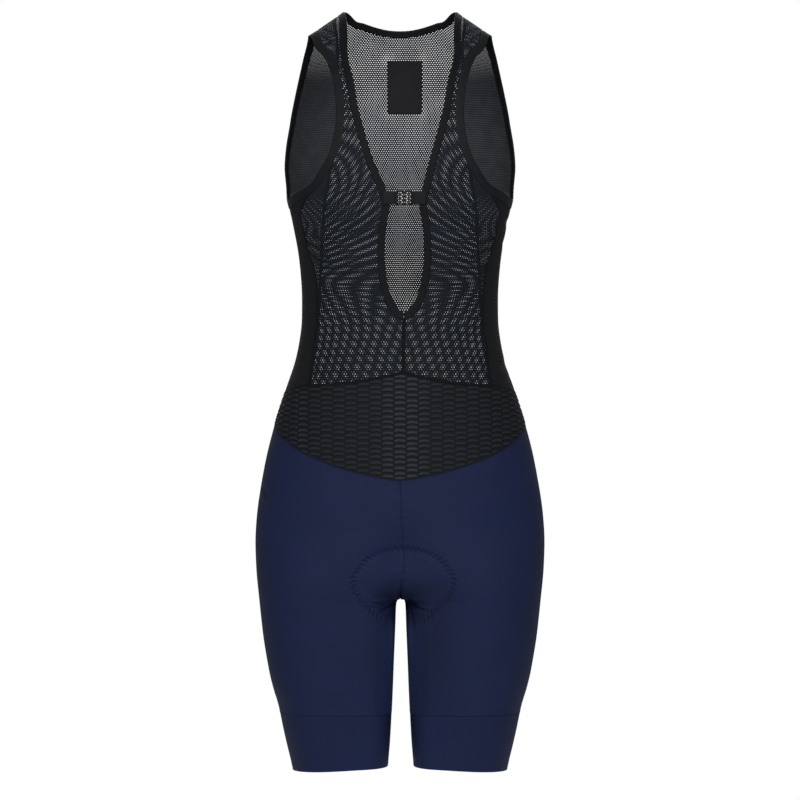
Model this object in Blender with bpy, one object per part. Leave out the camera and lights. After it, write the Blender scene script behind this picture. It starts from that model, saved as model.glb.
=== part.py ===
"""Cycling bib shorts in their worn form, cut and sewn from stretch cloth.

The garment hangs from the shoulders: x runs to the wearer's left, y to the back, z up, and z is zero
where the straps rest. Each sewn piece is a thin wall on one body surface, given by rings of real size.
All sizes are in metres.
"""

import math
from collections import namedtuple

import bmesh
import bpy
from mathutils import Vector

# Cloth and sewing
WALL = 0.0016
SEAM_GAP = 0.0003
HALF_GAP = SEAM_GAP / 2
BINDING_PROUD = 0.0006
BINDING_CROWN = 0.0005
NECK_BINDING_WIDTH = 0.0080
ARM_BINDING_WIDTH = 0.0095
BACK_BINDING_WIDTH = 0.0095

# Shoulders: the straps lie over a rounded ridge that falls away from the neck
NECK_POINT_X = 0.0670
NECK_POINT_Z = 0.0128
NECK_EDGE_TOP_X = 0.0650
SHOULDER_SLOPE = 0.74
SHOULDER_SOFTNESS = 0.035
RIDGE_HEIGHT = 0.110
RIDGE_START = 0.004
SHOULDER_TIP_X = 0.1060
BACK_SEAM_TOP_X = 0.0790

# Body rings
SQUARENESS = 0.06
CROTCH_Z = -0.6640
CROTCH_RISE = 0.0860
LEG_END_Z = -0.7920
HEM_Z = -0.8555
HEM_SLANT = 0.0030

TorsoRing = namedtuple("TorsoRing", "z half_width front back")
TORSO = (
    TorsoRing(0.0300, 0.1100, 0.0740, 0.0750),
    TorsoRing(-0.0137, 0.1140, 0.0765, 0.0800),
    TorsoRing(-0.0400, 0.1210, 0.0790, 0.0860),
    TorsoRing(-0.0750, 0.1290, 0.0840, 0.0910),
    TorsoRing(-0.1100, 0.1350, 0.0890, 0.0935),
    TorsoRing(-0.1616, 0.1370, 0.0955, 0.0920),
    TorsoRing(-0.2020, 0.1298, 0.0970, 0.0865),
    TorsoRing(-0.2309, 0.1236, 0.0950, 0.0815),
    TorsoRing(-0.2655, 0.1172, 0.0910, 0.0755),
    TorsoRing(-0.3000, 0.1138, 0.0880, 0.0715),
    TorsoRing(-0.3250, 0.1132, 0.0870, 0.0700),
    TorsoRing(-0.3522, 0.1143, 0.0875, 0.0715),
    TorsoRing(-0.3868, 0.1207, 0.0900, 0.0770),
    TorsoRing(-0.4215, 0.1322, 0.0940, 0.0855),
    TorsoRing(-0.4561, 0.1432, 0.0980, 0.0950),
    TorsoRing(-0.4908, 0.1525, 0.1010, 0.1040),
    TorsoRing(-0.5254, 0.1594, 0.1030, 0.1110),
    TorsoRing(-0.5600, 0.1646, 0.1040, 0.1165),
    TorsoRing(-0.5947, 0.1669, 0.1040, 0.1185),
    TorsoRing(-0.6294, 0.1657, 0.1020, 0.1150),
    TorsoRing(-0.6640, 0.1623, 0.0990, 0.1060),
)

LegRing = namedtuple("LegRing", "z outer front back")
LEG = (
    LegRing(-0.5920, 0.1669, 0.1040, 0.1185),
    LegRing(-0.6294, 0.1657, 0.1020, 0.1140),
    LegRing(-0.6640, 0.1623, 0.0990, 0.1055),
    LegRing(-0.6860, 0.1600, 0.0962, 0.0985),
    LegRing(-0.7100, 0.1571, 0.0935, 0.0920),
    LegRing(-0.7470, 0.1507, 0.0880, 0.0835),
    LegRing(-0.7656, 0.1461, 0.0848, 0.0798),
    LegRing(-0.7840, 0.1405, 0.0812, 0.0764),
    LegRing(-0.8120, 0.1346, 0.0768, 0.0725),
    LegRing(-0.8300, 0.1305, 0.0742, 0.0705),
    LegRing(-0.8488, 0.1259, 0.0716, 0.0685),
    LegRing(-0.8700, 0.1215, 0.0690, 0.0665),
)

# Distance of each leg's inner side from the middle, parting quickly below the crotch
InnerLegRow = namedtuple("InnerLegRow", "z x")
INNER_LEG = (
    InnerLegRow(-0.6640, 0.0002),
    InnerLegRow(-0.6660, 0.0025),
    InnerLegRow(-0.6700, 0.0042),
    InnerLegRow(-0.6780, 0.0052),
    InnerLegRow(-0.7100, 0.0064),
    InnerLegRow(-0.7470, 0.0075),
    InnerLegRow(-0.7840, 0.0090),
    InnerLegRow(-0.8120, 0.0104),
    InnerLegRow(-0.8488, 0.0131),
    InnerLegRow(-0.8700, 0.0145),
)

# Sideways drift of the centre seams, where the clasp and the seams sit a little to one side
Drift = namedtuple("Drift", "z x")
BIB_CENTRE = (
    Drift(0.0300, 0.0008),
    Drift(-0.1300, 0.0010),
    Drift(-0.1650, 0.0018),
    Drift(-0.2000, 0.0048),
    Drift(-0.3200, 0.0046),
    Drift(-0.4018, 0.0036),
)
SHORTS_CENTRE = (
    Drift(-0.5245, 0.0000),
    Drift(-0.5700, 0.0020),
    Drift(-0.6200, 0.0038),
    Drift(-0.6640, 0.0000),
)
PEAK_FADE = math.radians(40)

# Opening edge of the neckline, the clasp's waist and the keyhole, measured from the centre line
EdgeRow = namedtuple("EdgeRow", "z x")
NECK_EDGE = (
    EdgeRow(-0.0290, 0.0610),
    EdgeRow(-0.0700, 0.0535),
    EdgeRow(-0.1000, 0.0486),
    EdgeRow(-0.1310, 0.0407),
    EdgeRow(-0.1610, 0.0320),
    EdgeRow(-0.1950, 0.0203),
    EdgeRow(-0.2130, 0.0166),
    EdgeRow(-0.2280, 0.0192),
    EdgeRow(-0.2460, 0.0216),
    EdgeRow(-0.2650, 0.0222),
    EdgeRow(-0.2830, 0.0214),
    EdgeRow(-0.3010, 0.0187),
    EdgeRow(-0.3150, 0.0145),
    EdgeRow(-0.3260, 0.0088),
    EdgeRow(-0.3322, 0.0036),
    EdgeRow(-0.3338, 0.0003),
)

# Opening edge of the armhole on the front, from the shoulder tip down to the side seam
ARM_FRONT_EDGE = (
    EdgeRow(-0.0260, 0.0985),
    EdgeRow(-0.0420, 0.0865),
    EdgeRow(-0.0650, 0.0775),
    EdgeRow(-0.0860, 0.0740),
    EdgeRow(-0.1080, 0.0727),
    EdgeRow(-0.1310, 0.0748),
    EdgeRow(-0.1540, 0.0810),
    EdgeRow(-0.1740, 0.0925),
    EdgeRow(-0.1880, 0.1035),
)

# The armhole goes on under the arm by its turn round the body, in degrees, and climbs the back
ArmRow = namedtuple("ArmRow", "turn z")
ARM_UNDER_EDGE = (
    ArmRow(64.0, -0.1975),
    ArmRow(78.0, -0.2030),
    ArmRow(92.0, -0.2000),
    ArmRow(103.0, -0.1850),
)
ARM_BACK_EDGE = (
    EdgeRow(-0.1600, 0.1335),
    EdgeRow(-0.1350, 0.1315),
    EdgeRow(-0.1100, 0.1275),
    EdgeRow(-0.0750, 0.1207),
    EdgeRow(-0.0450, 0.1138),
)

SIDE_SEAM = (
    EdgeRow(-0.2180, 0.1140),
    EdgeRow(-0.2330, 0.1120),
    EdgeRow(-0.2496, 0.1089),
    EdgeRow(-0.2700, 0.1030),
    EdgeRow(-0.2900, 0.0970),
    EdgeRow(-0.3230, 0.0947),
    EdgeRow(-0.3485, 0.0953),
    EdgeRow(-0.3760, 0.0994),
)

BACK_SEAM = (
    EdgeRow(-0.0400, 0.0735),
    EdgeRow(-0.0920, 0.0705),
    EdgeRow(-0.1500, 0.0790),
    EdgeRow(-0.1980, 0.0880),
    EdgeRow(-0.2600, 0.0915),
    EdgeRow(-0.3150, 0.0940),
    EdgeRow(-0.3700, 0.0980),
)

BACK_NECK_EDGE = (
    EdgeRow(0.0093, 0.0530),
    EdgeRow(0.0060, 0.0420),
    EdgeRow(0.0022, 0.0280),
    EdgeRow(-0.0005, 0.0140),
    EdgeRow(-0.0013, 0.0000),
)

# Upper and lower edge of the belly yoke by their turn round the body, in degrees
YokeRow = namedtuple("YokeRow", "turn top bottom")
LEG_COLUMNS = 28
YOKE_TIP_COLUMN = 20
YOKE_TIP_TURN = 180 * YOKE_TIP_COLUMN / LEG_COLUMNS
YOKE = (
    YokeRow(0.0, -0.4018, -0.5245),
    YokeRow(8.0, -0.4062, -0.5212),
    YokeRow(17.0, -0.4102, -0.5160),
    YokeRow(26.0, -0.4138, -0.5090),
    YokeRow(40.0, -0.4162, -0.4960),
    YokeRow(53.0, -0.4172, -0.4830),
    YokeRow(65.0, -0.4205, -0.4725),
    YokeRow(85.0, -0.4250, -0.4620),
    YokeRow(108.0, -0.4310, -0.4505),
    YokeRow(YOKE_TIP_TURN, -0.4364, -0.4374),
)
YOKE_PEAK_Z = YOKE[0].top
YOKE_FOOT_Z = YOKE[0].bottom
BACK_WAIST_Z = -0.4240
SIDE_SEAM_END_X = 0.1040
SIDE_SEAM_END_Z = -0.4172
BACK_SEAM_END_TURN = 130.0

# Raised scales of the yoke's cloth
SCALE_TURN = 6.4
SCALE_PITCH = 0.0068
SCALE_HEIGHT = 0.0009
SCALE_LIP = 0.32
LEAST_STEP = 0.0010
YOKE_INNER_ROWS = 3

# Blank label inside the back of the neck
LABEL_CENTRE_X = 0.0056
LABEL_TOP_Z = -0.0357
LABEL_BOTTOM_Z = -0.0962
LABEL_WIDTH = 0.0394
LABEL_TAPER = 0.0012
LABEL_THICK = 0.0010
LABEL_STANDOFF = 0.0015

# Front clasp and its elastic tabs
CLASP_Z = -0.2045
CLASP_HEIGHT = 0.0165
CLASP_THICK = 0.0032
CLASP_HALF_WIDTH = 0.0082
CLASP_SLOT_WIDTH = 0.0017
CLASP_SLOT_HEIGHT = 0.0118
CLASP_SLOT_PLACES = (0.0022, 0.0061)
CLASP_BEVEL = 0.0004
TAB_HEIGHT = 0.0148
TAB_THICK = 0.0012
TAB_REACH = 0.0235

# How much of a seam's length is passed at a share of its samples
PathShare = namedtuple("PathShare", "sample length")
EVEN_SHARES = (PathShare(0.0, 0.0), PathShare(1.0, 1.0))
NECK_SHARES = (
    PathShare(0.0, 0.0),
    PathShare(0.52, 0.65),
    PathShare(0.70, 0.86),
    PathShare(1.0, 1.0),
)
BACK_SEAM_SHARES = (
    PathShare(0.0, 0.0),
    PathShare(0.27, 0.27),
    PathShare(0.395, 0.46),
    PathShare(0.50, 0.64),
    PathShare(0.59, 0.74),
    PathShare(1.0, 1.0),
)

# How finely each piece is divided, with the samples along each seam shared by the pieces on it
FRONT_COLUMNS = 7
SIDE_COLUMNS = 6
BACK_COLUMNS = 10
HIP_ROWS = 5
GRIPPER_ROWS = 4
TAB_COLUMNS = 3
LABEL_COLUMNS = 3
ARM_STEPS = 32
ARM_FRONT_STEPS = 15
SIDE_SEAM_STEPS = 12
NECK_STEPS = 24
LEG_ROWS_Z = (
    -0.586,
    -0.603,
    -0.619,
    -0.633,
    -0.645,
    -0.6542,
    -0.6606,
    CROTCH_Z,
    -0.6662,
    -0.6705,
    -0.680,
    -0.698,
    -0.721,
    -0.745,
    -0.768,
    LEG_END_Z,
)

# How far the searches and the slopes of the surface are worked out
SLOPE_STEP = 0.004
HEIGHT_STEP = 0.0005
TURN_TOLERANCE = 0.001
LENGTH_TOLERANCE = 1e-12
RIDGE_SEARCHES = 9
TURN_SEARCHES = 40
SEAM_SEARCHES = 24
CURVE_STEPS = 8
SHARP_EDGE = math.radians(40)

Finish = namedtuple("Finish", "colour roughness metallic")
NAVY = Finish((0.016, 0.020, 0.055), 0.75, 0.0)
BLACK_KNIT = Finish((0.012, 0.013, 0.015), 0.80, 0.0)
BLACK_SCALE = Finish((0.020, 0.021, 0.024), 0.70, 0.0)
NET = Finish((0.030, 0.032, 0.036), 0.80, 0.0)
BINDING = Finish((0.008, 0.009, 0.011), 0.65, 0.0)
PLASTIC = Finish((0.010, 0.010, 0.012), 0.35, 0.0)
LABEL = Finish((0.020, 0.020, 0.022), 0.85, 0.0)


def smooth_value(rows, wanted, key, value):
    """The value of a table's column at a key between its rows, on a smooth curve through them."""
    rows = sorted(rows, key=lambda row: getattr(row, key))
    keys = [getattr(row, key) for row in rows]
    values = [getattr(row, value) for row in rows]
    if wanted <= keys[0]:
        return values[0]
    if wanted >= keys[-1]:
        return values[-1]
    span = next(i for i in range(len(keys) - 1) if wanted <= keys[i + 1])

    def slope(i):
        low = max(i - 1, 0)
        high = min(i + 1, len(keys) - 1)
        return (values[high] - values[low]) / (keys[high] - keys[low])

    width = keys[span + 1] - keys[span]
    u = (wanted - keys[span]) / width
    start = (1 + 2 * u) * (1 - u) ** 2 * values[span] + u * (1 - u) ** 2 * width * slope(span)
    end = u * u * (3 - 2 * u) * values[span + 1] + u * u * (u - 1) * width * slope(span + 1)
    return start + end


def linear_value(rows, wanted):
    """The second column of a table at a value of its first, on straight lines between its rows."""
    for (low, start), (high, end) in zip(rows, rows[1:]):
        if wanted <= high:
            return start + (end - start) * (wanted - low) / (high - low)
    return rows[-1][1]


def mix(a, b, share):
    return a + (b - a) * share


def centre_x(z):
    """How far the bib's centre line lies to the wearer's left."""
    return smooth_value(BIB_CENTRE, z, "z", "x")


# The body surface, by turn round the body (0 at the front centre, pi at the back) and fall (the
# regular way down from the shoulder ridge, an angle over the ridge and then a length)


def shoulder_z(x):
    """Height of the ridge, straight over the shoulders and rounded behind the neck."""
    outward = math.hypot(x, SHOULDER_SOFTNESS) - math.hypot(NECK_POINT_X, SHOULDER_SOFTNESS)
    return NECK_POINT_Z - SHOULDER_SLOPE * outward


def fall_at(x, z):
    """The fall of a point of the surface at this x and height."""
    drop = max(shoulder_z(x) - z, 0.0)
    if drop < RIDGE_HEIGHT:
        return math.acos(1 - drop / RIDGE_HEIGHT)
    return math.pi / 2 + (drop - RIDGE_HEIGHT) / RIDGE_HEIGHT


def squared(turn):
    return 1 + SQUARENESS * math.sin(2 * turn) ** 2


def body_point(turn, fall):
    """The outer face of the cloth, on the wearer's left half for turns from 0 to pi."""
    across = math.sin(turn) * squared(turn)
    along = -math.cos(turn) * squared(turn)
    if fall < math.pi / 2:
        drop = RIDGE_HEIGHT * (1 - math.cos(fall))
        deep = math.sin(fall)
    else:
        drop = RIDGE_HEIGHT * (1 + fall - math.pi / 2)
        deep = 1.0
    z = -drop
    for _ in range(RIDGE_SEARCHES):
        x = smooth_value(TORSO, z, "z", "half_width") * across
        z = shoulder_z(x) - drop
    side = "front" if along < 0 else "back"
    return Vector((x, along * deep * smooth_value(TORSO, z, "z", side), z))


def turn_at(x, z, back=False):
    """The turn of the surface's point at this x and height, on the front or on the back."""
    share = abs(x) / smooth_value(TORSO, z, "z", "half_width")
    low, high = 0.0, math.pi / 2
    for _ in range(TURN_SEARCHES):
        middle = (low + high) / 2
        if math.sin(middle) * squared(middle) < share:
            low = middle
        else:
            high = middle
    turn = math.copysign(low, x)
    return math.pi - turn if back else turn


def spot(x, z, back=False):
    """The (turn, fall) of the surface's point at this x and height."""
    return Vector((turn_at(x, z, back), fall_at(x, z)))


def spot_at_turn(turn, z):
    x = smooth_value(TORSO, z, "z", "half_width") * math.sin(turn) * squared(turn)
    return Vector((turn, fall_at(x, z)))


def slopes(at):
    """How the surface's point moves with turn and with fall."""
    turn, fall = at
    across = body_point(turn + SLOPE_STEP, fall) - body_point(turn - SLOPE_STEP, fall)
    high, low = max(fall - SLOPE_STEP, 0.0), fall + SLOPE_STEP
    down = body_point(turn, low) - body_point(turn, high)
    return across / (2 * SLOPE_STEP), down / (low - high)


def lifted(at, lift):
    """The surface's point moved out by lift, or in where that is negative."""
    by_turn, by_fall = slopes(at)
    return body_point(*at) + lift * by_fall.cross(by_turn).normalized()


def beside(edge, width):
    """The edge moved sideways in the surface by width, towards the back where it runs down."""
    moved = []
    for i, at in enumerate(edge):
        by_turn, by_fall = slopes(at)
        run = edge[min(i + 1, len(edge) - 1)] - edge[max(i - 1, 0)]
        along = (by_turn * run[0] + by_fall * run[1]).normalized()
        sideways = by_fall.cross(by_turn).normalized().cross(along) * width
        both = by_turn.dot(by_fall)
        turn_turn, fall_fall = by_turn.dot(by_turn), by_fall.dot(by_fall)
        scale = turn_turn * fall_fall - both * both
        turn_part = (by_turn.dot(sideways) * fall_fall - by_fall.dot(sideways) * both) / scale
        fall_part = (by_fall.dot(sideways) * turn_turn - by_turn.dot(sideways) * both) / scale
        moved.append(at + Vector((turn_part, fall_part)))
    return moved


def path_through(points, count, shares=EVEN_SHARES):
    """count points along a smooth path through the given (turn, fall), at steps of real length.

    shares gives how much of the length is passed at a share of the count.
    """
    fine = []
    for i in range(len(points) - 1):
        before = points[max(i - 1, 0)]
        start, end = points[i], points[i + 1]
        after = points[min(i + 2, len(points) - 1)]
        for step in range(CURVE_STEPS):
            u = step / CURVE_STEPS
            fine.append(
                0.5
                * (
                    2 * start
                    + (end - before) * u
                    + (2 * before - 5 * start + 4 * end - after) * u * u
                    + (3 * start - before - 3 * end + after) * u**3
                )
            )
    fine.append(points[-1])
    real = [body_point(*at) for at in fine]
    lengths = [0.0]
    for i in range(1, len(real)):
        lengths.append(lengths[-1] + (real[i] - real[i - 1]).length)
    chosen = []
    for k in range(count):
        wanted = lengths[-1] * linear_value(shares, k / (count - 1))
        i = next(n for n in range(1, len(lengths)) if lengths[n] >= wanted - LENGTH_TOLERANCE)
        share = (wanted - lengths[i - 1]) / (lengths[i] - lengths[i - 1])
        chosen.append(fine[i - 1].lerp(fine[i], share))
    return chosen


def on_ridge(x, back=False):
    """The (turn, fall) at the top of the shoulder ridge, just short of its middle line."""
    return Vector((turn_at(x, shoulder_z(x), back), RIDGE_START))


# Meshes


def material_for(name, finish):
    material = bpy.data.materials.new(name)
    material.use_nodes = True
    shader = material.node_tree.nodes["Principled BSDF"]
    shader.inputs["Base Color"].default_value = (*finish.colour, 1.0)
    shader.inputs["Roughness"].default_value = finish.roughness
    shader.inputs["Metallic"].default_value = finish.metallic
    return material


def finish_object(name, mesh_data, finish):
    """Turns a bmesh into a node's object, faces outwards and smooth but for its edges."""
    bmesh.ops.recalc_face_normals(mesh_data, faces=mesh_data.faces)
    mesh = bpy.data.meshes.new(name)
    mesh_data.to_mesh(mesh)
    mesh_data.free()
    mesh.shade_smooth()
    mesh.set_sharp_from_angle(angle=SHARP_EDGE)
    mesh.materials.append(material_for(name, finish))
    made = bpy.data.objects.new(name, mesh)
    bpy.context.scene.collection.objects.link(made)
    return made


def add_face(mesh_data, corners):
    """A face through corners of which some may be one vertex."""
    kept = [v for i, v in enumerate(corners) if v is not corners[i - 1]]
    if len(set(kept)) > 2:
        mesh_data.faces.new(kept)


def add_rim(mesh_data, start_out, end_out, end_in, start_in):
    """Two triangles across a wall's edge, cut from its higher outer end so that neighbours match."""
    if start_out.co.z > end_out.co.z:
        add_face(mesh_data, (start_out, end_out, end_in))
        add_face(mesh_data, (start_out, end_in, start_in))
    else:
        add_face(mesh_data, (start_out, end_out, start_in))
        add_face(mesh_data, (end_out, end_in, start_in))


def wall(name, outer, inner, finish, closed_from=None, side=1):
    """A cloth wall between two grids of points. From row closed_from on, each row is a closed ring."""
    mesh_data = bmesh.new()
    last = len(outer[0]) - 1
    rows = len(outer)
    closed_from = rows if closed_from is None else closed_from
    skins = []
    for grid in (outer, inner):
        skin = [[mesh_data.verts.new((p.x * side, p.y, p.z)) for p in row[:last]] for row in grid]
        for j, row in enumerate(skin):
            end = grid[j][last]
            seam_end = mesh_data.verts.new((end.x * side, end.y, end.z)) if j < closed_from else row[0]
            row.append(seam_end)
        skins.append(skin)
    for skin in skins:
        for j in range(rows - 1):
            for i in range(last):
                add_face(mesh_data, (skin[j][i], skin[j][i + 1], skin[j + 1][i + 1], skin[j + 1][i]))
    outside, inside = skins
    for j in (0, rows - 1):
        for i in range(last):
            add_rim(mesh_data, outside[j][i], outside[j][i + 1], inside[j][i + 1], inside[j][i])
    for i in (0, last):
        for j in range(min(closed_from, rows - 1)):
            add_rim(mesh_data, outside[j][i], outside[j + 1][i], inside[j + 1][i], inside[j][i])
    return finish_object(name, mesh_data, finish)


def patch(start_edge, end_edge, top, bottom):
    """Grid of (turn, fall) spots that meets two side edges, a top and a bottom edge."""
    rows, columns = len(start_edge) - 1, len(top) - 1
    grid = []
    for j in range(rows + 1):
        v = j / rows
        row = []
        for i in range(columns + 1):
            u = i / columns
            between_sides = start_edge[j].lerp(end_edge[j], u)
            between_ends = top[i].lerp(bottom[i], v)
            corners = top[0].lerp(top[-1], u).lerp(bottom[0].lerp(bottom[-1], u), v)
            row.append(between_sides + between_ends - corners)
        grid.append(row)
    return grid


def line(start, end, count):
    return [start.lerp(end, i / (count - 1)) for i in range(count)]


def cloth(name, grid, finish, side):
    outer = [[lifted(at, 0.0) for at in row] for row in grid]
    inner = [[lifted(at, -WALL) for at in row] for row in grid]
    return wall(name, outer, inner, finish, side=side)


def binding(name, edge, far_edge, side):
    """A folded strip between an opening's edge and the panel it is sewn to, a little proud of it."""
    profile = ((0.0, 0.0), (0.5, BINDING_CROWN), (1.0, 0.0))
    outer = []
    inner = []
    for near, far in zip(edge, far_edge):
        outer.append([lifted(near.lerp(far, share), BINDING_PROUD + crown) for share, crown in profile])
        inner.append([lifted(near.lerp(far, share), -WALL - BINDING_PROUD) for share, _ in profile])
    return wall(name, outer, inner, BINDING, side=side)


# Seams, worked out for one side of the body and run from the top down


def neck_edge(side):
    """The opening's edge from the shoulder down the neckline and round the keyhole."""
    points = [on_ridge(NECK_EDGE_TOP_X)]
    for row in NECK_EDGE:
        points.append(spot(row.x + side * centre_x(row.z), row.z))
    return path_through(points, NECK_STEPS, NECK_SHARES)


def armhole_edge():
    """The armhole's edge, from the front of the shoulder under the arm to the back of it."""
    points = [on_ridge(SHOULDER_TIP_X)]
    points += [spot(row.x, row.z) for row in ARM_FRONT_EDGE]
    points += [spot_at_turn(math.radians(row.turn), row.z) for row in ARM_UNDER_EDGE]
    points += [spot(row.x, row.z, back=True) for row in ARM_BACK_EDGE]
    points += [on_ridge(SHOULDER_TIP_X, back=True)]
    return path_through(points, ARM_STEPS)


def from_peak(turn, side):
    """The turn in degrees from the yoke's peak, which drifts with the bib's centre seam."""
    peak = side * turn_at(centre_x(YOKE_PEAK_Z), YOKE_PEAK_Z)
    return math.degrees(abs(turn - peak * max(1 - abs(turn) / PEAK_FADE, 0)))


def waist_z(turn, side):
    """Height of the seam under the bib: the yoke's upper edge, then the shorts' top at the back."""
    degrees = from_peak(turn, side)
    if degrees <= YOKE_TIP_TURN:
        return smooth_value(YOKE, degrees, "turn", "top")
    share = (degrees - YOKE_TIP_TURN) / (180 - YOKE_TIP_TURN)
    return mix(YOKE[-1].top, BACK_WAIST_Z, math.sin(share * math.pi / 2) ** 2)


def shorts_top_z(turn):
    """Height of the seam over the shorts: the yoke's lower edge, then the back waist."""
    degrees = math.degrees(abs(turn))
    if degrees < YOKE_TIP_TURN + TURN_TOLERANCE:
        return smooth_value(YOKE, degrees, "turn", "bottom")
    return waist_z(turn, 1)


def bib_end(turn, side):
    """Where a bib panel ends, half a gap above the waist seam."""
    return spot_at_turn(turn, waist_z(turn, side) + HALF_GAP)


def at_centre(side, z):
    """The spot half a gap from the drifting centre line."""
    return spot(side * centre_x(z) + HALF_GAP, z)


def start_on_ridge(edge):
    edge[0][1] = RIDGE_START


def half_gap_off(seam, first, sign):
    """The seam moved half a gap to one side from its sample first on."""
    moved = beside(seam, sign * HALF_GAP)
    return [at.copy() for at in seam[:first]] + moved[first:]


def seams(side):
    found = {}
    arm = armhole_edge()
    arm_far = beside(arm, -ARM_BINDING_WIDTH)
    arm_panel = beside(arm, -ARM_BINDING_WIDTH - SEAM_GAP)
    for edge in (arm_far, arm_panel):
        edge[0][1] = RIDGE_START
        edge[-1][1] = RIDGE_START
    found["arm"], found["arm_far"] = arm, arm_far

    corner = ARM_FRONT_STEPS - 1
    points = [arm_panel[corner]]
    points += [spot(row.x, row.z) for row in SIDE_SEAM]
    points.append(bib_end(turn_at(SIDE_SEAM_END_X, SIDE_SEAM_END_Z), side))
    side_seam = path_through(points, SIDE_SEAM_STEPS + 1)
    found["front_outer"] = half_gap_off(arm_panel[:corner] + side_seam, corner, -1)
    from_back = list(reversed(arm_panel[corner + 1 :]))
    found["side_front"] = half_gap_off(from_back + side_seam, len(from_back), 1)

    neck = neck_edge(side)
    neck_far = beside(neck, NECK_BINDING_WIDTH)
    neck_panel = beside(neck, NECK_BINDING_WIDTH + SEAM_GAP)
    for edge in (neck, neck_far, neck_panel):
        start_on_ridge(edge)
        edge[-1] = at_centre(side, body_point(*edge[-1]).z)
    found["neck"], found["neck_far"] = neck, neck_far

    keyhole_foot = body_point(*neck_panel[-1]).z
    bib_foot = YOKE_PEAK_Z + HALF_GAP
    rows_left = len(found["front_outer"]) - len(neck_panel)
    heights = [mix(keyhole_foot, bib_foot, k / rows_left) for k in range(1, rows_left + 1)]
    found["front_inner"] = neck_panel + [at_centre(side, z) for z in heights]

    points = [on_ridge(BACK_SEAM_TOP_X, back=True)]
    points += [spot(row.x, row.z, back=True) for row in BACK_SEAM]
    points.append(bib_end(math.radians(BACK_SEAM_END_TURN), side))
    back_seam = path_through(points, len(found["side_front"]), BACK_SEAM_SHARES)
    found["back_outer"] = half_gap_off(back_seam, 0, -1)
    found["back_inner"] = half_gap_off(back_seam, 0, 1)
    for name in ("back_outer", "back_inner"):
        start_on_ridge(found[name])
    return found


def panel(name, start_edge, end_edge, columns, finish, side, top=None):
    """A bib panel between two seams, from the shoulder to the waist seam."""
    top = top or line(start_edge[0], end_edge[0], columns + 1)
    turns = [mix(start_edge[-1][0], end_edge[-1][0], i / columns) for i in range(columns + 1)]
    bottom = [bib_end(turn, side) for turn in turns]
    start_edge = start_edge[:-1] + bottom[:1]
    end_edge = end_edge[:-1] + bottom[-1:]
    return cloth(name, patch(start_edge, end_edge, top, bottom), finish, side)


# The back, which crosses the centre: turns past pi lie on the wearer's right


def mirrored(edge):
    return [Vector((2 * math.pi - at[0], at[1])) for at in edge]


def back_neck_path():
    """The back opening's edge from one neck point to the other."""
    half = [on_ridge(NECK_EDGE_TOP_X, back=True)]
    half += [spot(row.x, row.z, back=True) for row in BACK_NECK_EDGE]
    return half + list(reversed(mirrored(half[:-1])))


def back_pieces(found):
    """The back net panel with the binding of its neck edge."""
    neck = path_through(back_neck_path(), BACK_COLUMNS + 1)
    far = beside(neck, -BACK_BINDING_WIDTH)
    panel_top = beside(neck, -BACK_BINDING_WIDTH - SEAM_GAP)
    for edge in (far, panel_top):
        for end in (0, -1):
            edge[end][1] = RIDGE_START
    binding("back_neck_binding", neck, far, 1)
    start_edge = found["back_inner"]
    end_edge = mirrored(start_edge)
    panel_top[0] = start_edge[0]
    panel_top[-1] = end_edge[0]
    panel("back_net", start_edge, end_edge, BACK_COLUMNS, NET, 1, top=panel_top)


def back_label():
    """A blank label on the inside of the back net."""
    grid = []
    for j, z in enumerate((LABEL_TOP_Z, mix(LABEL_TOP_Z, LABEL_BOTTOM_Z, 0.5), LABEL_BOTTOM_Z)):
        half = LABEL_WIDTH / 2 - LABEL_TAPER * j / 2
        row = []
        for i in range(LABEL_COLUMNS + 1):
            x = LABEL_CENTRE_X + half * (2 * i / LABEL_COLUMNS - 1)
            at = spot(abs(x), z, back=True)
            row.append(at if x > 0 else mirrored([at])[0])
        grid.append(row)
    near = -WALL - LABEL_STANDOFF
    outer = [[lifted(at, near) for at in row] for row in grid]
    inner = [[lifted(at, near - LABEL_THICK) for at in row] for row in grid]
    wall("back_label", outer, inner, LABEL)


# The front clasp


def tab(side, name):
    """Flat elastic from the neck binding to its half of the clasp."""
    grid = []
    for edge_z in (CLASP_Z + TAB_HEIGHT / 2, CLASP_Z - TAB_HEIGHT / 2):
        row = []
        for i in range(TAB_COLUMNS + 1):
            x = mix(CLASP_HALF_WIDTH + SEAM_GAP, TAB_REACH, i / TAB_COLUMNS)
            row.append(spot(x + side * centre_x(CLASP_Z), edge_z))
        grid.append(row)
    near = BINDING_PROUD + BINDING_CROWN + SEAM_GAP
    outer = [[lifted(at, near + TAB_THICK) for at in row] for row in grid]
    inner = [[lifted(at, near) for at in row] for row in grid]
    wall(name, outer, inner, BINDING, side=side)


def box(centre, size):
    mesh_data = bmesh.new()
    bmesh.ops.create_cube(mesh_data, size=1.0)
    bmesh.ops.scale(mesh_data, vec=size, verts=mesh_data.verts)
    bmesh.ops.translate(mesh_data, vec=centre, verts=mesh_data.verts)
    return mesh_data


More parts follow.
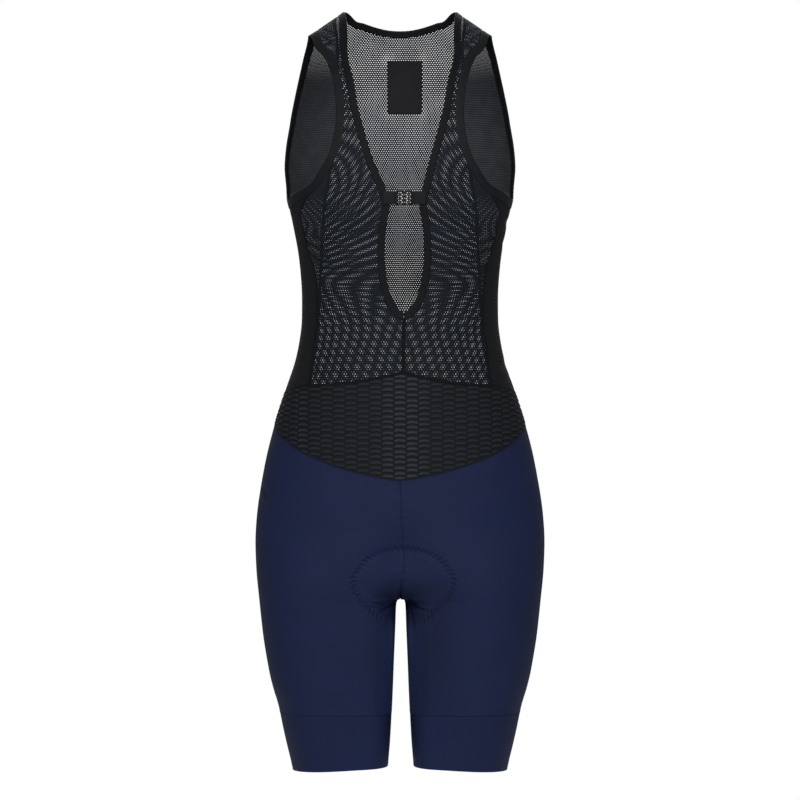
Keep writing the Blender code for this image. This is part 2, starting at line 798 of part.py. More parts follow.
def clasp_half(side, name):
    """A plastic plate with two upright slots, half of the front clasp."""
    middle = centre_x(CLASP_Z)
    front_y = body_point(*spot(middle, CLASP_Z)).y - BINDING_PROUD - BINDING_CROWN
    width = CLASP_HALF_WIDTH - HALF_GAP
    place = Vector((middle + side * (HALF_GAP + width / 2), front_y - CLASP_THICK / 2, CLASP_Z))
    plate = box(place, (width, CLASP_THICK, CLASP_HEIGHT))
    made = finish_object(name, plate, PLASTIC)
    for number, distance in enumerate(CLASP_SLOT_PLACES):
        centre = Vector((middle + side * distance, place.y, CLASP_Z))
        cutter_mesh = box(centre, (CLASP_SLOT_WIDTH, CLASP_THICK * 3, CLASP_SLOT_HEIGHT))
        cutter = finish_object(f"{name}_slot_{number}", cutter_mesh, PLASTIC)
        cutter.hide_render = True
        cutter.display_type = "WIRE"
        cut = made.modifiers.new(f"slot_{number}", "BOOLEAN")
        cut.operation = "DIFFERENCE"
        cut.object = cutter
    rounded = made.modifiers.new("rounded", "BEVEL")
    rounded.width = CLASP_BEVEL
    rounded.segments = 1
    rounded.limit_method = "ANGLE"


# The belly yoke


def scale_column(column, top_z, bottom_z):
    """(height, lift) down one column of the yoke: column centres carry scales, their borders lie low."""
    steps = int((YOKE_PEAK_Z - YOKE_FOOT_Z) / SCALE_PITCH) + 2
    points = []
    for k in range(steps):
        groove = YOKE_PEAK_Z + SCALE_PITCH / 2 - k * SCALE_PITCH
        if column % 2 == 0:
            points += [(groove, 0.0), (groove - SCALE_PITCH / 2, 0.0)]
            continue
        groove -= SCALE_PITCH / 2 * (column // 2 % 2)
        points += [(groove, 0.0), (groove - SCALE_PITCH * (1 - SCALE_LIP), SCALE_HEIGHT)]
    kept = []
    for z, lift in points:
        if bottom_z + LEAST_STEP < z < top_z - LEAST_STEP:
            kept.append((z, lift))
        else:
            kept.append((top_z if z > bottom_z + LEAST_STEP else bottom_z, 0.0))
    kept[0] = (top_z, 0.0)
    kept[-1] = (bottom_z, 0.0)
    return kept


def front_yoke():
    """One wall round the front, its outer face raised in scales over a plain inside."""
    half = int(round(YOKE_TIP_TURN / (SCALE_TURN / 2)))
    mesh_data = bmesh.new()
    outside = []
    inside = []
    for i in range(-half, half + 1):
        turn = math.radians(YOKE_TIP_TURN) * i / half
        top_z = waist_z(turn, 1) - HALF_GAP
        bottom_z = shorts_top_z(turn) + HALF_GAP
        outer = []
        last = None
        for z, lift in scale_column(i + half, top_z, bottom_z):
            if last is None or z != last:
                outer.append(mesh_data.verts.new(lifted(spot_at_turn(turn, z), lift)))
            else:
                outer.append(outer[-1])
            last = z
        outside.append(outer)
        inner = []
        for k in range(YOKE_INNER_ROWS + 1):
            z = mix(top_z, bottom_z, k / YOKE_INNER_ROWS)
            inner.append(mesh_data.verts.new(lifted(spot_at_turn(turn, z), -WALL)))
        inside.append(inner)
    for skin in (outside, inside):
        for left, right in zip(skin, skin[1:]):
            for k in range(len(left) - 1):
                add_face(mesh_data, (left[k], right[k], right[k + 1], left[k + 1]))
    for k in (0, -1):
        for i in range(2 * half):
            add_rim(mesh_data, outside[i][k], outside[i + 1][k], inside[i + 1][k], inside[i][k])
    for i in (0, -1):
        add_face(mesh_data, outside[i] + list(reversed(inside[i])))
    finish_object("front_yoke", mesh_data, BLACK_SCALE)


# The shorts


def seam_angle(centre, half_width, seam_x):
    """The angle from a ring's inner side at which it meets the seam at seam_x."""
    angle = 0.0
    for _ in range(SEAM_SEARCHES):
        reach = (centre - seam_x) / (half_width * squared(angle))
        angle = math.acos(max(-1.0, min(1.0, reach)))
    return angle


def shorts_point(side, share, z):
    """The shorts' outer face: share runs round from the inner or front seam to the inner or back seam.

    Below the crotch the ring of a leg is closed. Above it the ring reaches past the centre, further
    with each step up, and the part of it on this side is left, until it is half of the hip's ring.
    """
    climb = max(0.0, min(1.0, (z - CROTCH_Z) / CROTCH_RISE))
    hip = climb * climb * (3 - 2 * climb)
    outer = mix(smooth_value(LEG, z, "z", "outer"), smooth_value(TORSO, z, "z", "half_width"), hip)
    inner = smooth_value(INNER_LEG, z, "z", "x") * (1 - hip) - outer * hip / (2 - hip)
    centre = (outer + inner) / 2
    half_width = (outer - inner) / 2
    start, end = 0.0, 2 * math.pi
    if climb > 0:
        seam_x = smooth_value(SHORTS_CENTRE, z, "z", "x")
        start = seam_angle(centre, half_width, side * seam_x + HALF_GAP)
        end -= seam_angle(centre, half_width, HALF_GAP)
    angle = mix(start, end, share)
    facing = "front" if math.sin(angle) > 0 else "back"
    deep = mix(smooth_value(LEG, z, "z", facing), smooth_value(TORSO, z, "z", facing), hip)
    return Vector(
        (
            centre - half_width * math.cos(angle) * squared(angle),
            -deep * math.sin(angle) * squared(angle),
            z,
        )
    )


def shorts_lifted(side, share, z, lift):
    """The shorts' outer face moved out by lift. At the crotch its slope is the leg's."""
    step = HEIGHT_STEP
    above = z if abs(z - CROTCH_Z) < 2 * step else z + step
    by_height = (shorts_point(side, share, above) - shorts_point(side, share, z - step)).normalized()
    by_share = shorts_point(side, share + step, z) - shorts_point(side, share - step, z)
    return shorts_point(side, share, z) + lift * by_share.cross(by_height).normalized()


def leg_wall(name, side, heights, finish, closed_from):
    """A wall of the shorts through rows whose height is a function of the share round the ring."""
    shares = [i / LEG_COLUMNS for i in range(LEG_COLUMNS + 1)]
    outer = [[shorts_lifted(side, s, height(s), 0.0) for s in shares] for height in heights]
    inner = [[shorts_lifted(side, s, height(s), -WALL) for s in shares] for height in heights]
    return wall(name, outer, inner, finish, closed_from=closed_from, side=side)


def short_half(side, name):
    def top(share):
        return shorts_top_z(math.pi * share) - HALF_GAP

    def between(row):
        return lambda share: mix(top(share), LEG_ROWS_Z[0], row / HIP_ROWS)

    def level(z):
        return lambda share: z

    heights = [between(row) for row in range(HIP_ROWS)] + [level(z) for z in LEG_ROWS_Z]
    leg_wall(name, side, heights, NAVY, HIP_ROWS + LEG_ROWS_Z.index(CROTCH_Z))


def gripper(side, name):
    def row_height(row):
        def height(share):
            hem = HEM_Z + HEM_SLANT * math.cos(2 * math.pi * share)
            return mix(LEG_END_Z - SEAM_GAP, hem, row / GRIPPER_ROWS)

        return height

    leg_wall(name, side, [row_height(row) for row in range(GRIPPER_ROWS + 1)], NAVY, 0)


def build():
    for name, side in (("left", 1), ("right", -1)):
        found = seams(side)
        inner_edge, outer_edge = found["front_inner"], found["front_outer"]
        panel("bib_front_" + name, inner_edge, outer_edge, FRONT_COLUMNS, NET, side)
        front_edge, back_edge = found["side_front"], found["back_outer"]
        panel("side_panel_" + name, front_edge, back_edge, SIDE_COLUMNS, BLACK_KNIT, side)
        binding("neck_binding_" + name, found["neck"], found["neck_far"], side)
        binding("armhole_binding_" + name, found["arm"], found["arm_far"], side)
        tab(side, "clasp_tab_" + name)
        clasp_half(side, "clasp_" + name)
        short_half(side, "shorts_" + name)
        gripper(side, "gripper_" + name)
    back_pieces(found)
    back_label()
    front_yoke()


for leftover in list(bpy.data.objects):
    bpy.data.objects.remove(leftover)
build()
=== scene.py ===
"""Bib shorts for cycling, sewn from stretch cloth and shown in their worn form.

Each operator makes one piece or group of pieces on the body surface that the sewn panels share: x runs to
the wearer's left, y to the back and z up, from the height at which the straps rest on the shoulders.
"""

import math
from collections import namedtuple
from functools import lru_cache

import bmesh
import bpy
import numpy as np
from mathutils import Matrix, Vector


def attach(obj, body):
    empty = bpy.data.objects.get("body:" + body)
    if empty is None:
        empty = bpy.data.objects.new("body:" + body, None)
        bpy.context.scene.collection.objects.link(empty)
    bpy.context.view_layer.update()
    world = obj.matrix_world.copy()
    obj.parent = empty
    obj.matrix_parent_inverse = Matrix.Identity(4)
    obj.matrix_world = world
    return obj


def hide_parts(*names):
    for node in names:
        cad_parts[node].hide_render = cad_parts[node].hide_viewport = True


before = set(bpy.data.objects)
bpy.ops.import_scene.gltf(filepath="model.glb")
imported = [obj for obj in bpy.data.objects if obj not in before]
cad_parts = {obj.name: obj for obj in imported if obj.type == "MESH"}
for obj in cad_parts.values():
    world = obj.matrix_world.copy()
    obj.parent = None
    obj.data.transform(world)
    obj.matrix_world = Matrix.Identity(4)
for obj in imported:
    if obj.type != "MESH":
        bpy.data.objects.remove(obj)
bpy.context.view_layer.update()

bl_info = {
    "name": "Cycling bib shorts",
    "version": (1, 0, 0),
    "blender": (4, 5, 0),
    "location": "View3D > Sidebar > Bib shorts",
    "description": "Makes the sewn pieces of a pair of bib shorts round their solid model",
    "category": "Object",
}

BODY = "root"
HALF_GAP = 0.00015

# Shoulders: the straps lie over a rounded ridge that falls away from the neck
NECK_POINT_X = 0.0670
NECK_POINT_Z = 0.0128
NECK_EDGE_TOP_X = 0.0650
SHOULDER_SLOPE = 0.74
SHOULDER_SOFTNESS = 0.035
SHOULDER_TIP_X = 0.1060
BACK_SEAM_TOP_X = 0.0790
RIDGE_HEIGHT = 0.110
RIDGE_START = 0.0012

# Body rings
SQUARENESS = 0.06
CROTCH_Z = -0.6600
CROTCH_RISE = 0.0860
LEG_END_Z = -0.7920
HEM_Z = -0.8555
HEM_SLANT = 0.0030


def table(kind, *rows):
    """A table with named columns, from its rows."""
    return tuple(kind(*row) for row in rows)


TorsoRing = namedtuple("TorsoRing", "z half_width front back")
TORSO = table(
    TorsoRing,
    (0.0300, 0.1100, 0.0740, 0.0750), (-0.0137, 0.1140, 0.0765, 0.0800),
    (-0.0400, 0.1210, 0.0790, 0.0860), (-0.0750, 0.1290, 0.0840, 0.0910),
    (-0.1100, 0.1350, 0.0890, 0.0935), (-0.1616, 0.1370, 0.0955, 0.0920),
    (-0.2020, 0.1298, 0.0970, 0.0865), (-0.2309, 0.1236, 0.0950, 0.0815),
    (-0.2655, 0.1172, 0.0910, 0.0755), (-0.3000, 0.1138, 0.0880, 0.0715),
    (-0.3250, 0.1132, 0.0870, 0.0700), (-0.3522, 0.1143, 0.0875, 0.0715),
    (-0.3868, 0.1207, 0.0900, 0.0770), (-0.4215, 0.1322, 0.0940, 0.0855),
    (-0.4561, 0.1432, 0.0980, 0.0950), (-0.4908, 0.1525, 0.1010, 0.1040),
    (-0.5254, 0.1594, 0.1030, 0.1110), (-0.5600, 0.1646, 0.1040, 0.1165),
    (-0.5947, 0.1669, 0.1040, 0.1185), (-0.6294, 0.1657, 0.1020, 0.1150),
    (-0.6640, 0.1623, 0.0990, 0.1060),
)

LegRing = namedtuple("LegRing", "z outer front back")
LEG = table(
    LegRing,
    (-0.5920, 0.1669, 0.1040, 0.1185), (-0.6294, 0.1657, 0.1020, 0.1140),
    (-0.6640, 0.1623, 0.0990, 0.1055), (-0.6860, 0.1600, 0.0962, 0.0985),
    (-0.7100, 0.1571, 0.0935, 0.0920), (-0.7470, 0.1507, 0.0880, 0.0835),
    (-0.7656, 0.1461, 0.0848, 0.0798), (-0.7840, 0.1405, 0.0812, 0.0764),
    (-0.8120, 0.1346, 0.0768, 0.0725), (-0.8300, 0.1305, 0.0742, 0.0705),
    (-0.8488, 0.1259, 0.0716, 0.0685), (-0.8700, 0.1215, 0.0690, 0.0665),
)

EdgeRow = namedtuple("EdgeRow", "z x")
INNER_LEG = table(
    EdgeRow,
    (-0.6600, 0.0002), (-0.6603, 0.0022), (-0.6608, 0.0031), (-0.6620, 0.0039),
    (-0.6660, 0.0049), (-0.6700, 0.0055), (-0.6780, 0.0059), (-0.6960, 0.0065),
    (-0.7300, 0.0079), (-0.7780, 0.0098), (-0.8240, 0.0122), (-0.8488, 0.0142),
    (-0.8700, 0.0156),
)

# Sideways drift of the gap between the legs and of the centre seams
GAP_DRIFT = 0.0009
BIB_CENTRE = table(
    EdgeRow,
    (0.0300, 0.0008), (-0.1300, 0.0010), (-0.1650, 0.0018), (-0.2000, 0.0048),
    (-0.3200, 0.0046), (-0.4018, 0.0036),
)
SHORTS_CENTRE = table(
    EdgeRow,
    (-0.5245, 0.0000), (-0.5700, 0.0020), (-0.6200, 0.0038), (-0.6640, 0.0000),
)
PEAK_FADE = math.radians(40)

# Opening edge of the neckline, the clasp's waist and the keyhole, measured from the centre line
NECK_EDGE = table(
    EdgeRow,
    (-0.0290, 0.0610), (-0.0700, 0.0535), (-0.1000, 0.0486), (-0.1310, 0.0407),
    (-0.1610, 0.0320), (-0.1950, 0.0203), (-0.2130, 0.0166), (-0.2280, 0.0192),
    (-0.2460, 0.0216), (-0.2650, 0.0222), (-0.2830, 0.0214), (-0.3010, 0.0187),
    (-0.3150, 0.0145), (-0.3260, 0.0088), (-0.3322, 0.0036), (-0.3338, 0.0003),
)
ARM_FRONT_EDGE = table(
    EdgeRow,
    (-0.0260, 0.0985), (-0.0420, 0.0865), (-0.0650, 0.0775), (-0.0860, 0.0740),
    (-0.1080, 0.0727), (-0.1310, 0.0748), (-0.1540, 0.0810), (-0.1740, 0.0925),
    (-0.1880, 0.1035),
)
ArmRow = namedtuple("ArmRow", "turn z")
ARM_UNDER_EDGE = table(
    ArmRow,
    (64.0, -0.1975), (78.0, -0.2030), (92.0, -0.2000), (103.0, -0.1850),
)
ARM_BACK_EDGE = table(
    EdgeRow,
    (-0.1600, 0.1335), (-0.1350, 0.1315), (-0.1100, 0.1275), (-0.0750, 0.1207),
    (-0.0450, 0.1138),
)
SIDE_SEAM = table(
    EdgeRow,
    (-0.2180, 0.1140), (-0.2330, 0.1120), (-0.2496, 0.1089), (-0.2700, 0.1030),
    (-0.2900, 0.0970), (-0.3230, 0.0947), (-0.3485, 0.0953), (-0.3760, 0.0994),
)
BACK_SEAM = table(
    EdgeRow,
    (-0.0400, 0.0735), (-0.0920, 0.0705), (-0.1500, 0.0790), (-0.1980, 0.0880),
    (-0.2600, 0.0915), (-0.3150, 0.0940), (-0.3700, 0.0980),
)
BACK_NECK_EDGE = table(
    EdgeRow,
    (0.0093, 0.0530), (0.0060, 0.0420), (0.0022, 0.0280), (-0.0005, 0.0140),
    (-0.0013, 0.0000),
)

# Upper and lower edge of the belly yoke by their turn round the body, in degrees
YokeRow = namedtuple("YokeRow", "turn top bottom")
YOKE_TIP_TURN = 180 * 20 / 28
YOKE = table(
    YokeRow,
    (0.0, -0.4018, -0.5245), (8.0, -0.4062, -0.5212), (17.0, -0.4102, -0.5160),
    (26.0, -0.4138, -0.5090), (40.0, -0.4162, -0.4960), (53.0, -0.4172, -0.4830),
    (65.0, -0.4205, -0.4725), (85.0, -0.4250, -0.4620), (108.0, -0.4310, -0.4505),
    (YOKE_TIP_TURN, -0.4364, -0.4374),
)
YOKE_PEAK_Z = YOKE[0].top
BACK_WAIST_Z = -0.4240
SIDE_SEAM_END_X = 0.1040
SIDE_SEAM_END_Z = -0.4172
BACK_SEAM_END_TURN = 130.0

# How much of a seam's length is passed at a share of its samples
PathShare = namedtuple("PathShare", "sample length")
EVEN_SHARES = table(PathShare, (0.0, 0.0), (1.0, 1.0))
NECK_SHARES = table(PathShare, (0.0, 0.0), (0.52, 0.65), (0.70, 0.86), (1.0, 1.0))
BACK_SEAM_SHARES = table(
    PathShare,
    (0.0, 0.0), (0.27, 0.27), (0.395, 0.46), (0.50, 0.64),
    (0.59, 0.74), (1.0, 1.0),
)

# Samples along each seam, shared by the pieces on it
FINER = 5
ARM_STEPS = 31 * FINER + 1
ARM_FRONT_STEPS = 14 * FINER + 1
SIDE_SEAM_STEPS = 12 * FINER
NECK_STEPS = 23 * FINER + 1
SLOPE_STEP = 0.004
RIDGE_SEARCHES = 9
TURN_SEARCHES = 40
SEAM_SEARCHES = 24
CURVE_STEPS = 24
ARC_STEPS = 24


# Tables and the body surface. A spot is a pair of turn round the body (0 at the front centre, pi at the
# back) and fall (the regular way down from the shoulder ridge, an angle over it and then a length).


@lru_cache(maxsize=None)
def column(rows, key, value):
    """A table's keys, values and slopes, ready for smooth_value."""
    rows = sorted(rows, key=lambda row: getattr(row, key))
    keys = np.array([getattr(row, key) for row in rows])
    values = np.array([getattr(row, value) for row in rows])
    low = np.maximum(np.arange(len(keys)) - 1, 0)
    high = np.minimum(np.arange(len(keys)) + 1, len(keys) - 1)
    return keys, values, (values[high] - values[low]) / (keys[high] - keys[low])


def smooth_value(rows, wanted, key, value):
    """A table's column at keys between its rows, on a smooth curve through them."""
    keys, values, slope = column(rows, key, value)
    wanted = np.clip(wanted, keys[0], keys[-1])
    span = np.clip(np.searchsorted(keys, wanted) - 1, 0, len(keys) - 2)
    width = keys[span + 1] - keys[span]
    u = (wanted - keys[span]) / width
    start = (1 + 2 * u) * (1 - u) ** 2 * values[span] + u * (1 - u) ** 2 * width * slope[span]
    return start + u * u * (3 - 2 * u) * values[span + 1] + u * u * (u - 1) * width * slope[span + 1]


def mix(a, b, share):
    """a at share 0, b at share 1 and straight between."""
    return a + (b - a) * share


def soft_step(low, high, value):
    """0 below low, 1 above high and smooth between."""
    share = np.clip((value - low) / (high - low), 0.0, 1.0)
    return share * share * (3 - 2 * share)


def hump(value, width):
    """1 at value 0, fading smoothly over about width on both sides."""
    return np.exp(-((value / width) ** 2))


def unit(vectors):
    """The same directions, each with a length of 1."""
    return vectors / np.maximum(np.linalg.norm(vectors, axis=-1, keepdims=True), 1e-12)


def centre_x(z):
    """How far the bib's centre line drifts to the wearer's left."""
    return smooth_value(BIB_CENTRE, z, "z", "x")


def shoulder_z(x):
    """Height of the ridge, straight over the shoulders and rounded behind the neck."""
    outward = np.hypot(x, SHOULDER_SOFTNESS) - math.hypot(NECK_POINT_X, SHOULDER_SOFTNESS)
    return NECK_POINT_Z - SHOULDER_SLOPE * outward


def fall_at(x, z):
    """The fall of the surface's points at these x and heights."""
    drop = np.maximum(shoulder_z(x) - z, 0.0)
    over_ridge = np.arccos(np.clip(1 - drop / RIDGE_HEIGHT, -1.0, 1.0))
    return np.where(drop < RIDGE_HEIGHT, over_ridge, math.pi / 2 + (drop - RIDGE_HEIGHT) / RIDGE_HEIGHT)


def squared(turn):
    """How far a section stands out past an oval, between its front, sides and back."""
    return 1 + SQUARENESS * np.sin(2 * turn) ** 2


def body_point(spots):
    """The outer face of the cloth at an array of spots."""
    turn, fall = spots[..., 0], spots[..., 1]
    across = np.sin(turn) * squared(turn)
    along = -np.cos(turn) * squared(turn)
    over_ridge = fall < math.pi / 2
    drop = RIDGE_HEIGHT * np.where(over_ridge, 1 - np.cos(fall), 1 + fall - math.pi / 2)
    deep = np.where(over_ridge, np.sin(fall), 1.0)
    z = -drop
    for _ in range(RIDGE_SEARCHES):
        x = smooth_value(TORSO, z, "z", "half_width") * across
        z = shoulder_z(x) - drop
    front = smooth_value(TORSO, z, "z", "front")
    back = smooth_value(TORSO, z, "z", "back")
    return np.stack((x, along * deep * np.where(along < 0, front, back), z), axis=-1)


def turn_at(x, z, back=False):
    """The turn of the surface's points at these x and heights, on the front or on the back."""
    share = np.abs(x) / smooth_value(TORSO, z, "z", "half_width")
    low = np.zeros_like(share)
    high = np.full_like(share, math.pi / 2)
    for _ in range(TURN_SEARCHES):
        middle = (low + high) / 2
        under = np.sin(middle) * squared(middle) < share
        low = np.where(under, middle, low)
        high = np.where(under, high, middle)
    turn = np.copysign(low, x)
    return math.pi - turn if back else turn


def spot(x, z, back=False):
    """The spots at these x and heights, on the front or on the back."""
    x, z = np.broadcast_arrays(np.asarray(x, float), np.asarray(z, float))
    return np.stack((turn_at(x, z, back), fall_at(x, z)), axis=-1)


def spot_at_turn(turn, z):
    """The spots at these turns and heights."""
    turn, z = np.broadcast_arrays(np.asarray(turn, float), np.asarray(z, float))
    x = smooth_value(TORSO, z, "z", "half_width") * np.sin(turn) * squared(turn)
    return np.stack((turn, fall_at(x, z)), axis=-1)


def slopes(spots):
    """How the surface's points move with turn and with fall."""
    turn, fall = spots[..., 0], spots[..., 1]
    high, low = np.maximum(fall - SLOPE_STEP, 0.0), fall + SLOPE_STEP
    right = body_point(np.stack((turn + SLOPE_STEP, fall), axis=-1))
    left = body_point(np.stack((turn - SLOPE_STEP, fall), axis=-1))
    down = body_point(np.stack((turn, low), axis=-1)) - body_point(np.stack((turn, high), axis=-1))
    return (right - left) / (2 * SLOPE_STEP), down / (low - high)[..., None]


def outward(spots):
    """The direction out of the surface at each spot."""
    by_turn, by_fall = slopes(spots)
    return unit(np.cross(by_fall, by_turn))


def lifted(spots, lift):
    """The surface's points moved out by lift, which is a number or an array."""
    return body_point(spots) + np.asarray(lift)[..., None] * outward(spots)


def beside(edge, width):
    """The edge moved sideways in the surface, towards the back where it runs down."""
    by_turn, by_fall = slopes(edge)
    run = np.empty_like(edge)
    run[1:-1] = edge[2:] - edge[:-2]
    run[0], run[-1] = edge[1] - edge[0], edge[-1] - edge[-2]
    along = unit(by_turn * run[:, :1] + by_fall * run[:, 1:])
    sideways = np.cross(unit(np.cross(by_fall, by_turn)), along) * width
    both = (by_turn * by_fall).sum(-1)
    turn_turn, fall_fall = (by_turn**2).sum(-1), (by_fall**2).sum(-1)
    scale = turn_turn * fall_fall - both * both
    turn_move, fall_move = (by_turn * sideways).sum(-1), (by_fall * sideways).sum(-1)
    turn_part = (turn_move * fall_fall - fall_move * both) / scale
    fall_part = (fall_move * turn_turn - turn_move * both) / scale
    return edge + np.stack((turn_part, fall_part), axis=-1)


def path_through(points, count, shares=EVEN_SHARES):
    """count spots along a smooth path through the given ones, at steps of real length."""
    points = np.vstack(points)
    before = np.vstack((points[:1], points[:-1]))[:-1, None]
    start, end = points[:-1, None], points[1:, None]
    after = np.vstack((points[2:], points[-1:]))[:, None]
    u = (np.arange(CURVE_STEPS) / CURVE_STEPS)[None, :, None]
    bend = 2 * start + (end - before) * u + (2 * before - 5 * start + 4 * end - after) * u**2
    fine = 0.5 * (bend + (3 * start - before - 3 * end + after) * u**3)
    fine = np.vstack((fine.reshape(-1, 2), points[-1:]))
    lengths = np.append(0, np.cumsum(np.linalg.norm(np.diff(body_point(fine), axis=0), axis=1)))
    passed = np.interp(np.linspace(0, 1, count), *zip(*shares)) * lengths[-1]
    return np.stack([np.interp(passed, lengths, fine[:, k]) for k in range(2)], axis=-1)


def on_ridge(x, back=False):
    """The spot at the top of the shoulder ridge, just short of its middle line."""
    return np.array([turn_at(np.asarray(x), shoulder_z(x), back), RIDGE_START])


# Seams, worked out for one side of the body and run from the top down


def rows_of(rows, back=False, drift=None):
    """The spots of a table's rows, moved sideways by drift times the centre line's own drift."""
    z = np.array([row.z for row in rows])
    x = np.array([row.x for row in rows])
    return spot(x + drift * centre_x(z) if drift else x, z, back)


def armhole_edge():
    """The armhole, down its front edge, under the arm and up its back edge."""
    under = spot_at_turn(np.radians([row.turn for row in ARM_UNDER_EDGE]), [row.z for row in ARM_UNDER_EDGE])
    points = [on_ridge(SHOULDER_TIP_X), rows_of(ARM_FRONT_EDGE), under]
    points += [rows_of(ARM_BACK_EDGE, back=True), on_ridge(SHOULDER_TIP_X, back=True)]
    return path_through(points, ARM_STEPS)


def waist_z(turn, side):
    """Height of the seam under the bib: the yoke's upper edge, then the shorts' top at the back."""
    peak = side * turn_at(centre_x(YOKE_PEAK_Z), np.asarray(YOKE_PEAK_Z))
    degrees = np.degrees(np.abs(turn - peak * np.maximum(1 - np.abs(turn) / PEAK_FADE, 0)))
    share = np.clip((degrees - YOKE_TIP_TURN) / (180 - YOKE_TIP_TURN), 0, 1)
    behind = mix(YOKE[-1].top, BACK_WAIST_Z, np.sin(share * math.pi / 2) ** 2)
    return np.where(degrees <= YOKE_TIP_TURN, smooth_value(YOKE, degrees, "turn", "top"), behind)


def whole_waist_z(turn):
    """The same height all round, by turns that are negative on the wearer's right."""
    return np.where(turn > 0, waist_z(turn, 1), waist_z(-turn, -1))


def shorts_top_z(turn):
    """Height of the seam over the shorts: the yoke's lower edge, then the back waist."""
    degrees = np.degrees(np.abs(turn))
    front = smooth_value(YOKE, degrees, "turn", "bottom")
    return np.where(degrees < YOKE_TIP_TURN + 0.001, front, waist_z(turn, 1))


def bib_end(turn, side):
    """The spots at these turns on the bib's side of the waist seam."""
    return spot_at_turn(turn, waist_z(turn, side) + HALF_GAP)


def at_centre(side, z):
    """The spots half a gap from the drifting centre line."""
    return spot(side * centre_x(z) + HALF_GAP, z)


@lru_cache(maxsize=None)
def seams(side):
    """Every seam and edge of the bib on one side, as arrays of spots."""
    found = {}
    arm = armhole_edge()
    arm_panel = beside(arm, -sizes().arm_binding - 2 * HALF_GAP)
    arm_panel[[0, -1], 1] = RIDGE_START
    found["arm"], found["arm_panel"] = arm, arm_panel

    corner = ARM_FRONT_STEPS - 1
    waist = bib_end(turn_at(np.asarray(SIDE_SEAM_END_X), np.asarray(SIDE_SEAM_END_Z)), side)
    side_seam = path_through([arm_panel[corner], rows_of(SIDE_SEAM), waist], SIDE_SEAM_STEPS + 1)
    found["side"] = side_seam
    found["front_outer"] = np.vstack((arm_panel[:corner], beside(side_seam, -HALF_GAP)))
    found["side_front"] = np.vstack((arm_panel[:corner:-1], beside(side_seam, HALF_GAP)))

    neck = path_through([on_ridge(NECK_EDGE_TOP_X), rows_of(NECK_EDGE, drift=side)], NECK_STEPS, NECK_SHARES)
    neck_panel = beside(neck, sizes().neck_binding + 2 * HALF_GAP)
    for edge in (neck, neck_panel):
        edge[0, 1] = RIDGE_START
        edge[-1] = at_centre(side, body_point(edge[-1:])[0, 2])
    found["neck"], found["neck_panel"] = neck, neck_panel

    foot = body_point(neck_panel[-1:])[0, 2]
    left = len(found["front_outer"]) - len(neck_panel)
    found["centre"] = at_centre(side, np.linspace(foot, YOKE_PEAK_Z + HALF_GAP, left + 1))
    found["front_inner"] = np.vstack((neck_panel, found["centre"][1:]))

    end = bib_end(math.radians(BACK_SEAM_END_TURN), side)
    points = [on_ridge(BACK_SEAM_TOP_X, back=True), rows_of(BACK_SEAM, back=True), end]
    back_seam = path_through(points, len(found["side_front"]), BACK_SEAM_SHARES)
    found["back"] = back_seam
    found["back_outer"] = beside(back_seam, -HALF_GAP)
    found["back_inner"] = beside(back_seam, HALF_GAP)
    for name in ("back_outer", "back_inner"):
        found[name][0, 1] = RIDGE_START
    return found


def mirrored(edge):
    """Spots on the wearer's left half, carried over the centre back to the right half."""
    return np.stack((2 * math.pi - edge[..., 0], edge[..., 1]), axis=-1)


def back_neck_path():
    """The back opening's edge from one neck point to the other."""
    half = np.vstack((on_ridge(NECK_EDGE_TOP_X, back=True), rows_of(BACK_NECK_EDGE, back=True)))
    return [half, mirrored(half[-2::-1])]


def patch(start_edge, end_edge, top, bottom):
    """Grid of spots that meets two side edges, a top and a bottom edge."""
    v = np.linspace(0, 1, len(start_edge))[:, None, None]
    u = np.linspace(0, 1, len(top))[None, :, None]
    between_sides = mix(start_edge[:, None], end_edge[:, None], u)
    between_ends = mix(top[None], bottom[None], v)
    corners = mix(mix(top[0], top[-1], u), mix(bottom[0], bottom[-1], u), v)
    return between_sides + between_ends - corners


def panel_spots(start_edge, end_edge, columns, side, top=None):
    """A bib panel between two seams, from the shoulder to the waist seam."""
    share = np.linspace(0, 1, columns + 1)[:, None]
    top = mix(start_edge[0], end_edge[0], share) if top is None else top
    bottom = bib_end(mix(start_edge[-1, 0], end_edge[-1, 0], share[:, 0]), side)
    start_edge = np.vstack((start_edge[:-1], bottom[:1]))
    end_edge = np.vstack((end_edge[:-1], bottom[-1:]))
    return patch(start_edge, end_edge, top, bottom)


# The shorts. Their inner thighs are pressed together at the crotch, which makes the sections full there,
# and the cloth bridges the hollow between them before it turns under the crotch. FRONT_FULLNESS and
# BACK_FULLNESS are for the lower leg and for the crotch, and the other pairs for the front and for the back
FRONT_FULLNESS = (0.52, 0.68)
BACK_FULLNESS = (0.30, 0.45)
CROTCH_TURN = (0.050, 0.070)
BRIDGE_HEIGHT = (0.95, 0.88)
BRIDGE_BEND = (0.22, 0.40)
BRIDGE_WIDTH = 0.004
BRIDGE_SPREAD = 1.3
HOLLOW_DEPTH = 0.012
HOLLOW_WIDTH = 0.022


def seam_angle(centre, half_width, seam_x):
    """The angle from a ring's inner side at which it meets the seam at seam_x."""
    angle = np.zeros_like(centre)
    for _ in range(SEAM_SEARCHES):
        reach = (centre - seam_x) / (half_width * squared(angle))
        angle = np.arccos(np.clip(reach, -1.0, 1.0))
    return angle


